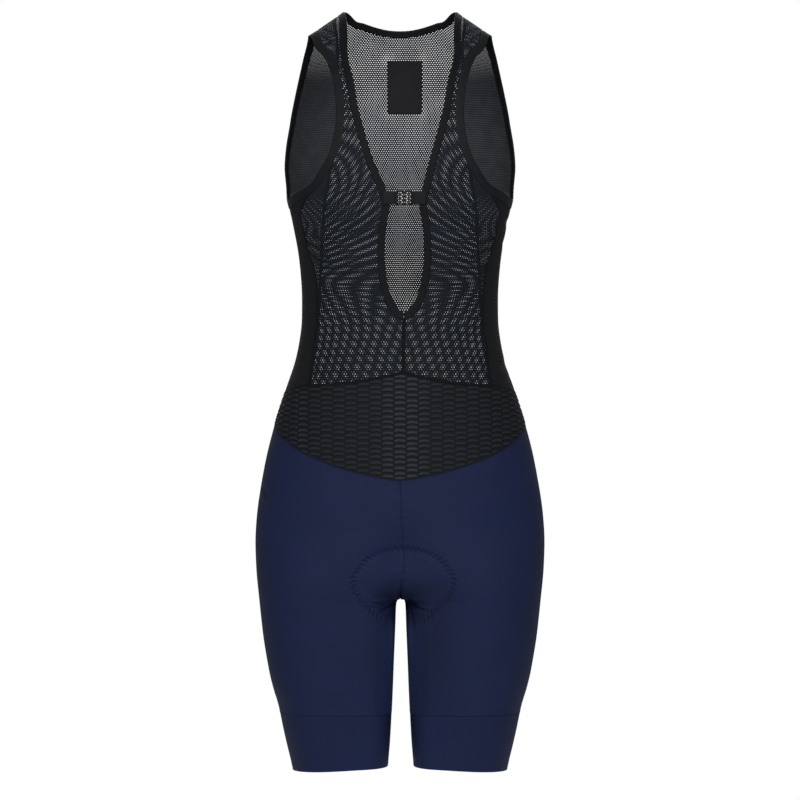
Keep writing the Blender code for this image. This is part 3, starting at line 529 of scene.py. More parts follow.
def shorts_point(side, share, z):
    """The shorts' outer face: share runs round from the inner or front seam to the inner or back seam."""
    climb = np.clip((z - CROTCH_Z) / CROTCH_RISE, 0.0, 1.0)
    hip = climb * climb * (3 - 2 * climb)
    outer = mix(smooth_value(LEG, z, "z", "outer"), smooth_value(TORSO, z, "z", "half_width"), hip)
    drift = side * GAP_DRIFT * soft_step(CROTCH_Z, CROTCH_Z - 0.002, z)
    inner = smooth_value(INNER_LEG, z, "z", "x") + drift
    inner = inner * (1 - hip) - outer * hip / (2 - hip)
    centre = (outer + inner) / 2
    half_width = (outer - inner) / 2
    seam_x = smooth_value(SHORTS_CENTRE, z, "z", "x")
    start = np.where(climb > 0, seam_angle(centre, half_width, side * seam_x + HALF_GAP), 0.0)
    end = 2 * math.pi - np.where(climb > 0, seam_angle(centre, half_width, HALF_GAP), 0.0)
    angle = np.where(share < 0.5, mix(start, math.pi, 2 * share), mix(math.pi, end, 2 * share - 1))
    front = mix(smooth_value(LEG, z, "z", "front"), smooth_value(TORSO, z, "z", "front"), hip)
    back = mix(smooth_value(LEG, z, "z", "back"), smooth_value(TORSO, z, "z", "back"), hip)
    deep = np.where(share < 0.5, front, back)
    x = centre - half_width * np.cos(angle) * squared(angle)
    pressed = soft_step(-0.800, -0.675, z)
    fuller = np.where(share < 0.5, mix(*FRONT_FULLNESS, pressed), mix(*BACK_FULLNESS, pressed))
    fuller = fuller * soft_step(0.0, 0.7, np.cos(angle))
    reach = np.abs(np.sin(angle)) ** (1 - fuller)
    turn_under = np.where(share < 0.5, *CROTCH_TURN)
    above = np.clip(z - CROTCH_Z, 0.0, turn_under)
    bend = (1 - (1 - above / turn_under) ** 3) ** np.where(share < 0.5, *BRIDGE_BEND)
    bridge = np.where(share < 0.5, *BRIDGE_HEIGHT) * bend * hump(x, BRIDGE_WIDTH + BRIDGE_SPREAD * above)
    bridge = bridge * soft_step(-0.5, 0.7, np.cos(angle))
    reach = 1 - (1 - reach) * (1 - bridge)
    hollow = HOLLOW_DEPTH * hump(x, HOLLOW_WIDTH)
    hollow = hollow * soft_step(-0.560, -0.640, z) * soft_step(-0.700, -0.662, z)
    y = -deep * reach * squared(angle) + np.where(share < 0.5, hollow * reach, 0.0)
    return np.stack((x, np.where(share < 0.5, y, -y), z), axis=-1)


def grid_normals(points, closed):
    """Outward directions of a grid of points. closed marks the rows whose ends meet."""
    across = np.gradient(points, axis=1)
    ends = points[:, 1] - points[:, -2]
    across[:, 0] = np.where(closed[:, None], ends, across[:, 0])
    across[:, -1] = np.where(closed[:, None], ends, across[:, -1])
    return unit(np.cross(np.gradient(points, axis=0), across))


# Creases and stitched forms of the shorts, each placed by its own sizes. Along a crease x and z are its
# ends, seen from the front or the back; width is how far it reaches to each side and depth is inwards.
Crease = namedtuple("Crease", "x z to_x to_z width depth")
FRONT_CREASES = table(
    Crease,
    (-0.0050, -0.6650, -0.0245, -0.6738, 0.0018, 0.0030),
    (-0.0130, -0.6660, -0.0360, -0.6618, 0.0018, 0.0017),
    (-0.0150, -0.6635, -0.0330, -0.6590, 0.0018, -0.0010),
    (-0.0180, -0.6688, -0.0370, -0.6672, 0.0017, 0.0013),
    (0.0064, -0.6625, 0.0190, -0.6685, 0.0040, 0.0034),
    (0.0100, -0.6655, 0.0345, -0.6735, 0.0020, 0.0024),
    (0.0150, -0.6640, 0.0400, -0.6655, 0.0020, 0.0010),
    (0.0105, -0.6680, 0.0150, -0.6960, 0.0026, 0.0020),
    (-0.0120, -0.6760, -0.0150, -0.6960, 0.0030, 0.0007),
    (-0.159, -0.5360, -0.150, -0.5490, 0.0042, 0.0022),
    (-0.152, -0.4740, -0.138, -0.4920, 0.0060, 0.0010),
    (0.157, -0.5050, 0.147, -0.5290, 0.0070, 0.0009),
    (-0.030, -0.7000, -0.046, -0.7600, 0.0100, 0.0008),
    (0.034, -0.7020, 0.050, -0.7620, 0.0110, 0.0008),
    (-0.100, -0.5250, -0.060, -0.5950, 0.0180, -0.0007),
    (0.100, -0.5300, 0.066, -0.6000, 0.0180, -0.0007),
)
BACK_CREASES = table(
    Crease,
    (-0.010, -0.6560, -0.074, -0.6760, 0.0050, 0.0030),
    (0.010, -0.6570, 0.078, -0.6740, 0.0050, 0.0030),
    (-0.008, -0.6660, -0.050, -0.6900, 0.0042, 0.0022),
    (0.008, -0.6650, 0.044, -0.6920, 0.0042, 0.0024),
    (-0.008, -0.6750, -0.026, -0.7100, 0.0040, 0.0014),
    (0.009, -0.6760, 0.030, -0.7060, 0.0040, 0.0016),
    (-0.064, -0.6840, -0.116, -0.6780, 0.0070, 0.0014),
    (0.060, -0.6820, 0.108, -0.6800, 0.0070, 0.0012),
    (-0.006, -0.5700, -0.040, -0.6080, 0.0080, 0.0010),
    (0.006, -0.5800, 0.036, -0.6120, 0.0080, 0.0010),
    (-0.020, -0.4560, -0.062, -0.4610, 0.0050, 0.0010),
    (0.026, -0.4580, 0.070, -0.4530, 0.0050, 0.0010),
    (-0.040, -0.7400, -0.100, -0.7480, 0.0070, 0.0009),
    (0.046, -0.7440, 0.104, -0.7380, 0.0070, 0.0009),
)


def crease_depth(x, z, creases):
    """How far in the cloth lies at each point, under all of the creases."""
    depth = np.zeros_like(x)
    for crease in creases:
        run = np.array([crease.to_x - crease.x, crease.to_z - crease.z])
        length = math.hypot(*run)
        along = ((x - crease.x) * run[0] + (z - crease.z) * run[1]) / length**2
        aside = ((x - crease.x) * run[1] - (z - crease.z) * run[0]) / length
        inside = soft_step(-0.15, 0.25, along) * (1 - soft_step(0.45, 1.15, along))
        depth += crease.depth * inside * hump(aside, crease.width)
    return depth


# The stitched outline of the seat pad: its right half as seen from the front and from the back
PadRow = namedtuple("PadRow", "x z")
PAD_FRONT = table(
    PadRow,
    (0.000, -0.6009), (0.015, -0.6020), (0.029, -0.6060), (0.042, -0.6138),
    (0.0500, -0.6228), (0.0570, -0.6358), (0.0560, -0.6470), (0.0520, -0.6560),
    (0.0460, -0.6640), (0.0340, -0.6750), (0.0220, -0.6835), (0.0110, -0.6905),
)
PAD_BACK = table(
    PadRow,
    (0.000, -0.5560), (0.026, -0.5600), (0.052, -0.5760), (0.070, -0.6020),
    (0.076, -0.6320), (0.066, -0.6580), (0.044, -0.6800), (0.020, -0.7000),
)
PAD_STEPS = 240
PAD_MARGIN = 0.02
PAD_OFFSET = 0.0021
PAD_CENTRE_X = 0.0039
PUCKER_PITCH = 0.0056
PUCKER_SLANT = 0.5
PUCKER_DEPTH = 0.0007
PUCKER_REACH = 0.0042
ZIGZAG_REACH = 1.7
STITCH_WIDTH = 0.0024
STITCH_DEPTH = 0.0006
PAD_RISE = 0.0009
SEAM_SINK = 0.0003
SEAM_SWELL = 0.0003
SEAM_RIPPLE = 0.00018
# Crease depth at which the painted shade in the shorts' folds is fullest
FOLD_SHADE_DEPTH = 0.003

PathPoint = namedtuple("PathPoint", "length x z")


def outline_of(rows):
    """Points along a smooth curve through an outline's rows, with the length passed at each."""
    places = np.array([(row.x, row.z) for row in rows])
    steps = np.append(0, np.cumsum(np.linalg.norm(np.diff(places, axis=0), axis=1)))
    path = table(PathPoint, *((step, x, z) for step, (x, z) in zip(steps, places)))
    length = np.linspace(0, steps[-1], PAD_STEPS)
    return length, *(smooth_value(path, length, "length", name) for name in ("x", "z"))


def pad_places(x, z, rows):
    """Where each point lies by the pad's outline: the length passed along it, and the distance inside it."""
    length, path_x, path_z = outline_of(rows)
    along, inside = np.zeros_like(x), np.full_like(x, -PAD_MARGIN)
    near = (np.abs(x) < path_x.max() + PAD_MARGIN) & (z < path_z.max() + PAD_MARGIN)
    near &= z > path_z.min() - PAD_MARGIN
    apart_x = np.abs(x[near])[:, None] - path_x
    apart_z = z[near][:, None] - path_z
    apart = np.hypot(apart_x, apart_z)
    closest = apart.argmin(axis=1)
    which = np.arange(len(closest))
    before = np.maximum(closest - 1, 0)
    run_x, run_z = path_x[before + 1] - path_x[before], path_z[before + 1] - path_z[before]
    step = np.hypot(run_x, run_z)
    off_x, off_z = apart_x[which, closest], apart_z[which, closest]
    side = np.sign(off_x * run_z - off_z * run_x)
    passed = length[closest] + (off_x * run_x + off_z * run_z) / step
    along[near] = passed + np.where(x[near] > 0, 0.0, PAD_OFFSET)
    inside[near] = apart[which, closest] * side
    return along, inside, 1 - soft_step(0.86, 0.98, along / length[-1])


def pad_relief(along, inside, fade):
    """The puckers that cross the pad's outline, with the pad's soft edge inside it."""
    uneven = 0.75 + 0.25 * np.sin(along * 171.0)
    wave = np.sin(2 * math.pi * (along + PUCKER_SLANT * inside) / PUCKER_PITCH)
    pucker = PUCKER_DEPTH * uneven * wave * hump(inside, PUCKER_REACH)
    raised = PAD_RISE * soft_step(0.001, 0.008, inside)
    sunk = -STITCH_DEPTH * hump(inside, STITCH_WIDTH)
    return (pucker + raised + sunk) * fade


def shorts_relief(points, front):
    """How far the shorts' cloth stands out or in at each point, with the pad's places and the folds' depths
    for the material, which paints shade in the folds.
    """
    x, z = points[..., 0], points[..., 2]
    seam_x = smooth_value(SHORTS_CENTRE, z, "z", "x")
    relief = np.zeros_like(x)
    along, inside, shown, fold = np.zeros_like(x), np.zeros_like(x), np.zeros_like(x), np.zeros_like(x)
    middle = x - PAD_CENTRE_X * front
    for facing, creases, pad in ((front, FRONT_CREASES, PAD_FRONT), (~front, BACK_CREASES, PAD_BACK)):
        places = pad_places(middle, z, pad)
        creased = crease_depth(x, z, creases)
        relief += np.where(facing, pad_relief(*places) - creased, 0.0)
        # Each fold's depth, kept for the painted shade in the folds
        fold = np.where(facing, creased / FOLD_SHADE_DEPTH, fold)
        along, inside, shown = (
            np.where(facing, new, old) for new, old in zip(places, (along, inside, shown))
        )
    above = soft_step(CROTCH_Z - 0.004, CROTCH_Z + 0.012, z)
    middle = np.where(front, x - seam_x, x)
    seam = -SEAM_SINK * hump(middle, 0.0016) + SEAM_SWELL * hump(np.abs(middle) - 0.0040, 0.0022)
    ripple = SEAM_RIPPLE * np.sin(z * 620 + np.sin(z * 190) * 1.5) * hump(middle, 0.010)
    relief += (seam + ripple) * above
    return relief, {"pad_along": along, "pad_inside": inside, "pad_shown": shown, "fold": fold}


# Meshes


def linked(called, data):
    """A new object for a mesh, a light or a camera, linked to the scene."""
    made = bpy.data.objects.new(called, data)
    bpy.context.scene.collection.objects.link(made)
    return made


def cloth_grid(called, points, metres, side=1, merge=False, numbers=None):
    """A grid of cloth through an array of points, with its UV map in metres along the cloth."""
    if side < 0:
        points = points[:, ::-1] * (-1, 1, 1)
        metres = metres[:, ::-1] * (-1, 1)
        numbers = {name: values[:, ::-1] for name, values in (numbers or {}).items()}
    rows, columns = points.shape[:2]
    built = bmesh.new()
    bmesh.ops.create_grid(built, x_segments=columns - 1, y_segments=rows - 1, size=0.5)
    places = np.array([vertex.co[:2] for vertex in built.verts])
    across = np.rint((places[:, 0] + 0.5) * (columns - 1)).astype(int)
    down = np.rint((0.5 - places[:, 1]) * (rows - 1)).astype(int)
    mesh = bpy.data.meshes.new(called)
    built.to_mesh(mesh)
    built.free()
    mesh.vertices.foreach_set("co", points[down, across].ravel())
    corners = np.empty(len(mesh.loops), int)
    mesh.loops.foreach_get("vertex_index", corners)
    layer = mesh.uv_layers.new(name="metres")
    layer.data.foreach_set("uv", metres[down, across][corners].ravel())
    for name, values in (numbers or {}).items():
        stored = mesh.attributes.new(name, "FLOAT", "POINT")
        stored.data.foreach_set("value", values[down, across].ravel())
    if merge:
        built = bmesh.new()
        built.from_mesh(mesh)
        bmesh.ops.remove_doubles(built, verts=built.verts, dist=1e-6)
        built.to_mesh(mesh)
        built.free()
    mesh.shade_smooth()
    return linked(called, mesh)


def closed_strip(name, points, metres, side=1):
    """A strip whose cross-section is closed, such as a folded binding, with its ends filled."""
    made = cloth_grid(name, points, metres, side, merge=True)
    built = bmesh.new()
    built.from_mesh(made.data)
    bmesh.ops.holes_fill(built, edges=[edge for edge in built.edges if edge.is_boundary], sides=0)
    bmesh.ops.recalc_face_normals(built, faces=built.faces)
    built.to_mesh(made.data)
    built.free()
    made.data.shade_smooth()
    made.data.set_sharp_from_angle(angle=math.radians(70))
    return made


def thicken(made, thickness):
    """Gives cloth its thickness, inwards from its outer face."""
    wall = made.modifiers.new("thickness", "SOLIDIFY")
    wall.thickness = thickness
    wall.offset = -1
    wall.use_rim = True


def keep(made, material, stands_for=()):
    """Gives a finished piece its material, hangs it under the body and hides the solid parts it stands for.
    """
    made.data.materials.append(material)
    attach(made, BODY)
    if stands_for:
        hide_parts(*stands_for)


def quarter_length(turn, wide, deep):
    """Length round a quarter of an oval from its front or back, to a turn of at most a quarter."""
    share = (np.arange(ARC_STEPS) + 0.5) / ARC_STEPS
    turns = turn[..., None] * share
    return np.hypot(wide[..., None] * np.cos(turns), deep[..., None] * np.sin(turns)).mean(axis=-1) * turn


def arc_length(turn, z, depth=1.0, behind=False):
    """Length round the body at one height, from the front or the back centre to a turn."""
    wide = smooth_value(TORSO, z, "z", "half_width")
    near = smooth_value(TORSO, z, "z", "back" if behind else "front") * depth
    far = smooth_value(TORSO, z, "z", "front" if behind else "back") * depth
    turned = np.abs(turn - math.pi) if behind else np.abs(turn)
    quarter = np.full_like(turned, math.pi / 2)
    length = quarter_length(np.minimum(turned, quarter), wide, near)
    left = np.minimum(math.pi - turned, quarter)
    rest = quarter_length(quarter, wide, far) - quarter_length(left, wide, far)
    length = length + np.where(turned > quarter, rest, 0.0)
    return np.copysign(length, turn - math.pi if behind else turn)


def bib_metres(spots, points, behind=False):
    """Where each point lies on its cloth: across from the centre line, and down in straight rows."""
    turn, fall, z = spots[..., 0], spots[..., 1], points[..., 2]
    across = arc_length(turn, z, np.sin(np.minimum(fall, math.pi / 2)), behind)
    return np.stack((across, shoulder_z(points[..., 0]) - fall * RIDGE_HEIGHT), axis=-1)


def along_rows(points):
    """Length passed down each column of a grid, and across each of its rows."""
    down = np.cumsum(np.linalg.norm(np.diff(points, axis=0, prepend=points[:1]), axis=-1), axis=0)
    across = np.cumsum(np.linalg.norm(np.diff(points, axis=1, prepend=points[:, :1]), axis=-1), axis=1)
    return np.stack((across, -down), axis=-1)


# Materials
INNER_LEG_X = 0.015
RIB_PITCH = 0.0021
SLIT_PITCH = 0.0024
LEG_RIB_PITCH = 0.0023
STITCH_PITCH = 0.0030
THREAD_WIDTH = 0.00035


class Recipe:
    """A cloth or plastic material that is put together from nodes."""

    def __init__(self, name, colour, roughness):
        self.material = bpy.data.materials.new(name)
        self.material.use_nodes = True
        self.nodes = self.material.node_tree.nodes
        self.shader = self.nodes["Principled BSDF"]
        self.shader.inputs["Roughness"].default_value = roughness
        self.shader.inputs["Specular IOR Level"].default_value = 0.1
        self.colour = (*colour, 1.0)
        self.shader.inputs["Base Color"].default_value = self.colour
        across_down = self.node("ShaderNodeSeparateXYZ", self.node("ShaderNodeUVMap", uv_map="metres"))
        self.across = across_down.outputs["X"]
        self.down = across_down.outputs["Y"]

    def join(self, socket, value):
        """Sets an input to a number or colour, or links another node to it."""
        if isinstance(value, bpy.types.Node):
            value = value.outputs[0]
        if isinstance(value, bpy.types.NodeSocket):
            self.material.node_tree.links.new(value, socket)
        elif value is not None:
            socket.default_value = value

    def node(self, kind, *values, **settings):
        """A new node with its first inputs joined to the values."""
        made = self.nodes.new(kind)
        for name, value in settings.items():
            setattr(made, name, value)
        for socket, value in zip(made.inputs, values):
            self.join(socket, value)
        return made

    def math(self, operation, *values):
        return self.node("ShaderNodeMath", *values, operation=operation).outputs[0]

    def times(self, first, second):
        return self.math("MULTIPLY", first, second)

    def plus(self, first, second):
        return self.math("ADD", first, second)

    def minus(self, first, second):
        return self.math("SUBTRACT", first, second)

    def most(self, first, second):
        return self.math("MAXIMUM", first, second)

    def apart(self, first, second):
        """The distance between two values."""
        return self.math("ABSOLUTE", self.minus(first, second))

    def stored(self, name):
        """A number that the mesh holds for each of its points."""
        return self.node("ShaderNodeAttribute", attribute_name=name).outputs["Fac"]

    def place(self):
        """The object's own x, y and z."""
        made = self.node("ShaderNodeSeparateXYZ", self.node("ShaderNodeTexCoord").outputs["Object"])
        return made.outputs

    def ramp(self, value, low, high, start=0.0, end=1.0):
        """start below low, end above high and smooth between."""
        made = self.node("ShaderNodeMapRange", value, low, high, start, end, interpolation_type="SMOOTHSTEP")
        return made.outputs[0]

    def noise(self, size, detail=2.0):
        """Soft noise of a given size in metres, on the object's own coordinates."""
        place = self.node("ShaderNodeTexCoord").outputs["Object"]
        made = self.node("ShaderNodeTexNoise", place)
        made.inputs["Scale"].default_value = 1.0 / size
        made.inputs["Detail"].default_value = detail
        return made.outputs["Fac"]

    def wave(self, coordinate, pitch):
        """A wave from -1 to 1 along a coordinate."""
        return self.math("SINE", self.times(coordinate, 2 * math.pi / pitch))

    def tint(self, factor, colour):
        """Mixes the base colour towards another by a factor, over what it is already."""
        mixer = self.node("ShaderNodeMix", data_type="RGBA")
        socket = self.shader.inputs["Base Color"]
        now = socket.links[0].from_socket if socket.links else self.colour
        self.join(mixer.inputs["Factor"], factor)
        self.join(mixer.inputs[6], now)
        self.join(mixer.inputs[7], (*colour, 1.0))
        self.join(socket, mixer.outputs[2])

    def bump(self, height, distance, strength=1.0):
        """Raises the surface by height times distance, over what is raised already."""
        socket = self.shader.inputs["Normal"]
        made = self.node("ShaderNodeBump")
        made.inputs["Strength"].default_value = strength
        made.inputs["Distance"].default_value = distance
        self.join(made.inputs["Height"], height)
        if socket.links:
            self.join(made.inputs["Normal"], socket.links[0].from_socket)
        self.join(socket, made.outputs["Normal"])


def scaled(colour, factor):
    """A colour made lighter or darker."""
    return tuple(part * factor for part in colour)


def knit(recipe, pitch, depth):
    """Fine columns of loops, as in every jersey."""
    loops = recipe.times(recipe.wave(recipe.across, pitch), recipe.wave(recipe.down, pitch * 0.8))
    recipe.bump(loops, depth, 0.6)


@lru_cache(maxsize=None)
def navy_jersey():
    """Fine jersey with the pad's zigzag stitches, painted shade in its folds and down the inner thighs, and
    painted light on the thighs' inner edges beside the gap.
    """
    colours = bpy.context.scene.bib_colours
    recipe = Recipe("navy jersey", colours.navy, 0.62)
    recipe.tint(recipe.ramp(recipe.noise(0.05), 0.35, 0.75, 0.0, 0.35), scaled(colours.navy, 0.8))
    recipe.tint(recipe.ramp(recipe.noise(0.0009, 1.0), 0.55, 0.75, 0.0, 0.4), scaled(colours.navy, 1.35))
    knit(recipe, 0.0009, 0.00006)
    along, inside, shown = (recipe.stored(name) for name in ("pad_along", "pad_inside", "pad_shown"))
    zigzag = recipe.math("PINGPONG", along, PUCKER_PITCH / 2)
    zigzag = recipe.times(recipe.minus(zigzag, PUCKER_PITCH / 4), ZIGZAG_REACH)
    off = recipe.apart(inside, zigzag)
    thread = recipe.times(recipe.ramp(off, 0.0002, 0.0014, 1.0, 0.0), shown)
    recipe.tint(recipe.times(thread, 0.15), scaled(colours.navy, 0.35))
    recipe.bump(recipe.times(thread, -1.0), 0.0004)
    # Painted shade in the folds, deeper where the crease lies deeper
    fold = recipe.stored("fold")
    recipe.tint(recipe.ramp(fold, 0.1, 0.9, 0.0, 0.7), scaled(colours.navy, 0.3))
    # Painted shade down the inner thigh below the crotch, fading towards the hem and away from the gap
    x, _, z = recipe.place()
    high = recipe.ramp(z, -0.655, -0.620, 1.0, 0.0)
    low = recipe.ramp(z, -0.80, -0.70, 0.3, 0.8)
    off_inner = recipe.apart(x, INNER_LEG_X)
    shade = recipe.times(recipe.times(high, low), recipe.ramp(off_inner, 0.02, 0.07, 1.0, 0.0))
    recipe.tint(shade, scaled(colours.navy, 0.65))
    # Painted light on the thighs' inner edges beside the gap below the crotch, lightest close to the gap
    off_gap = recipe.apart(x, GAP_DRIFT)
    near = recipe.ramp(off_gap, 0.0075, 0.0165, 0.85, 0.0)
    near = recipe.times(near, recipe.ramp(z, -0.700, -0.672, 1.0, 0.2))
    edge = recipe.plus(near, recipe.ramp(off_gap, 0.0140, 0.0270, 0.25, 0.0))
    edge = recipe.times(edge, recipe.ramp(z, -0.705, -0.664, 1.0, 0.0))
    recipe.tint(edge, [part * gain for part, gain in zip(colours.navy, (3.4, 3.2, 2.7))])
    return recipe.material


@lru_cache(maxsize=None)
def ribbed_band():
    """Leg elastic with fine upright ribs."""
    colours = bpy.context.scene.bib_colours
    navy = scaled(colours.navy, 1.12)
    recipe = Recipe("ribbed leg band", navy, 0.6)
    ribs = recipe.wave(recipe.across, LEG_RIB_PITCH)
    # Painted shade in the grooves between the ribs
    recipe.tint(recipe.ramp(ribs, -1.0, 0.2, 0.5, 0.0), scaled(navy, 0.55))
    recipe.tint(recipe.ramp(recipe.noise(0.05), 0.4, 0.7, 0.0, 0.3), scaled(navy, 0.85))
    recipe.bump(ribs, 0.00022)
    knit(recipe, 0.0008, 0.00004)
    return recipe.material


@lru_cache(maxsize=None)
def side_knit():
    """Dense knit with ribs across it and fine slits near the shoulder and behind the bust."""
    colours = bpy.context.scene.bib_colours
    recipe = Recipe("ribbed side knit", colours.black_knit, 0.7)
    unevenness = recipe.times(recipe.noise(0.012), 0.0012)
    ribs = recipe.wave(recipe.plus(recipe.down, unevenness), RIB_PITCH)
    # Painted light on the crests of the ribs
    recipe.tint(recipe.ramp(ribs, -0.2, 1.0, 0.0, 0.75), scaled(colours.black_knit, 2.1))
    recipe.tint(recipe.ramp(recipe.noise(0.006), 0.5, 0.8, 0.0, 0.4), scaled(colours.black_knit, 0.5))
    inside = recipe.node("ShaderNodeNewGeometry").outputs["Backfacing"]
    patches = recipe.ramp(recipe.noise(0.012), 0.35, 0.65, 0.35, 0.65)
    streaks = recipe.times(recipe.ramp(ribs, -0.2, 1.0, 0.0, 0.9), patches)
    recipe.tint(recipe.times(inside, recipe.plus(streaks, 0.25)), (0.082, 0.085, 0.097))
    recipe.bump(ribs, 0.00018)
    knit(recipe, 0.0007, 0.00004)
    row = recipe.math("FLOOR", recipe.math("DIVIDE", recipe.down, RIB_PITCH))
    odd = recipe.math("PINGPONG", row, 1.0)
    shifted = recipe.plus(recipe.across, recipe.times(odd, SLIT_PITCH / 2))
    tall = recipe.ramp(recipe.wave(recipe.down, RIB_PITCH), 0.4, 0.9)
    slits = recipe.times(tall, recipe.ramp(recipe.wave(shifted, SLIT_PITCH), 0.2, 0.7))
    _, y, z = recipe.place()
    opened = recipe.ramp(z, -0.064, -0.024, 0.01, 0.7)
    behind = recipe.times(recipe.ramp(y, 0.0, 0.03, 0.0, 0.55), recipe.ramp(z, -0.215, -0.185, 1.0, 0.0))
    opened = recipe.most(opened, behind)
    recipe.join(recipe.shader.inputs["Alpha"], recipe.minus(1.0, recipe.times(slits, opened)))
    return recipe.material


@lru_cache(maxsize=None)
def open_net(name, softness, thinnest, thickest, shade, hole_width):
    """Black net with staggered round holes, cut by its transparency.

    softness is how far a hole's edge fades, from the thinnest cover in its middle to the thickest round
    it. shade scales the thread's colour, and hole_width the holes across, which are as much taller the
    less wide they are."""
    net_sizes = sizes()
    colour = [part * gain for part, gain in zip(bpy.context.scene.bib_colours.net, shade)]
    recipe = Recipe(name, colour, 0.6)
    wander = recipe.times(recipe.minus(recipe.noise(0.02), 0.5), 0.0010)
    across = recipe.plus(recipe.across, wander)
    distances = []
    for shift in (0.0, 0.5):
        steps = []
        rows = (
            (across, net_sizes.hole_pitch, 1 / hole_width),
            (recipe.down, 2 * net_sizes.row_pitch, hole_width),
        )
        for coordinate, pitch, squeeze in rows:
            cell = recipe.plus(recipe.math("DIVIDE", coordinate, pitch), shift)
            off = recipe.minus(recipe.math("FRACT", cell), 0.5)
            steps.append(recipe.times(off, pitch * squeeze))
        squares = [recipe.math("POWER", step, 2.0) for step in steps]
        distances.append(recipe.math("SQRT", recipe.plus(*squares)))
    distance = recipe.math("MINIMUM", *distances)
    stretch = recipe.stored("amount")
    uneven = recipe.ramp(recipe.noise(0.03), 0.3, 0.7, 0.94, 1.06)
    radius = recipe.times(recipe.times(stretch, net_sizes.hole_size / 2), uneven)
    thread = recipe.minus(distance, radius)
    recipe.join(recipe.shader.inputs["Alpha"], recipe.ramp(thread, -softness, softness, thinnest, thickest))
    recipe.bump(recipe.ramp(thread, 0.0, 0.0005), 0.0002)
    recipe.tint(recipe.ramp(recipe.noise(0.02), 0.4, 0.8, 0.0, 0.6), scaled(colour, 1.5))
    return recipe.material


@lru_cache(maxsize=None)
def scale_cloth():
    """Knit of raised scales, with painted shade between them and painted highlights on them by the centre and
    on one side.
    """
    colours = bpy.context.scene.bib_colours
    # Dark ground lightened by the scales' height: painted shade between the scales and painted light on their
    # lips
    recipe = Recipe("raised scale cloth", scaled(colours.scale_cloth, 0.42), 0.66)
    height = recipe.stored("amount")
    recipe.tint(recipe.ramp(height, 0.2, 0.9), scaled(colours.scale_cloth, 1.1))
    x, _, _ = recipe.place()
    # Painted highlight on the scales' tops near the centre and along one column on the wearer's right
    painted_highlight = recipe.ramp(recipe.apart(x, 0.004), 0.008, 0.036, 0.72, 0.0)
    painted_highlight = recipe.most(painted_highlight, recipe.ramp(recipe.apart(x, -0.113), 0.003, 0.008, 0.35, 0.0))
    recipe.tint(recipe.times(painted_highlight, recipe.ramp(height, 0.3, 1.0)), scaled(colours.scale_cloth, 2.5))
    recipe.tint(recipe.ramp(recipe.noise(0.004), 0.5, 0.8, 0.0, 0.5), scaled(colours.scale_cloth, 0.6))
    knit(recipe, 0.0011, 0.00008)
    return recipe.material


def stitched(recipe, places, colour):
    """Lines of stitches along a strip, at the given distances across it."""
    run = recipe.minus(1.0, recipe.ramp(recipe.wave(recipe.down, STITCH_PITCH), -0.65, -0.45, 1.0, 0.0))
    for place in places:
        off = recipe.apart(recipe.across, place)
        thread = recipe.times(recipe.ramp(off, THREAD_WIDTH / 2, THREAD_WIDTH, 1.0, 0.0), run)
        recipe.tint(recipe.times(thread, 0.8), colour)
        recipe.bump(thread, 0.00025)


@lru_cache(maxsize=None)
def binding_tape(name, stitch_places, shade=1.0):
    """Smooth folded elastic with its lines of stitches."""
    colour = scaled(bpy.context.scene.bib_colours.binding, shade)
    recipe = Recipe(name, colour, 0.55)
    recipe.tint(recipe.ramp(recipe.noise(0.01), 0.4, 0.8, 0.0, 0.5), scaled(colour, 1.6))
    knit(recipe, 0.0008, 0.00005)
    stitched(recipe, stitch_places, scaled(colour, 2.6))
    return recipe.material


@lru_cache(maxsize=None)
def seam_thread(name, navy):
    """Overlocked seam tape: short slanting stitches over a narrow ridge."""
    colours = bpy.context.scene.bib_colours
    colour = scaled(colours.navy, 0.6) if navy else scaled(colours.binding, 0.55)
    recipe = Recipe(name, colour, 0.6)
    slant = recipe.plus(recipe.down, recipe.times(recipe.across, 0.8))
    stitches = recipe.wave(slant, 0.0016)
    recipe.tint(recipe.ramp(stitches, 0.0, 1.0, 0.0, 0.6), scaled(colour, 1.9))
    recipe.bump(stitches, 0.0002)
    return recipe.material


@lru_cache(maxsize=None)
def moulded_plastic():
    """Slightly glossy plastic with a fine grain."""
    colours = bpy.context.scene.bib_colours
    recipe = Recipe("moulded plastic", colours.plastic, 0.34)
    recipe.tint(recipe.ramp(recipe.noise(0.004), 0.4, 0.8, 0.0, 0.5), scaled(colours.plastic, 1.5))
    recipe.bump(recipe.noise(0.0004), 0.00003, 0.5)
    return recipe.material


@lru_cache(maxsize=None)
def woven_label():
    """Plain weave, with nothing printed on it."""
    colours = bpy.context.scene.bib_colours
    recipe = Recipe("plain woven label", colours.label, 0.85)
    weave = recipe.times(recipe.wave(recipe.across, 0.0007), recipe.wave(recipe.down, 0.0007))
    recipe.tint(recipe.ramp(weave, -0.5, 1.0, 0.0, 0.5), scaled(colours.label, 1.5))
    recipe.tint(recipe.ramp(recipe.noise(0.008), 0.45, 0.8, 0.0, 0.4), scaled(colours.label, 0.7))
    recipe.bump(weave, 0.00008)
    return recipe.material


# Sizes and colours


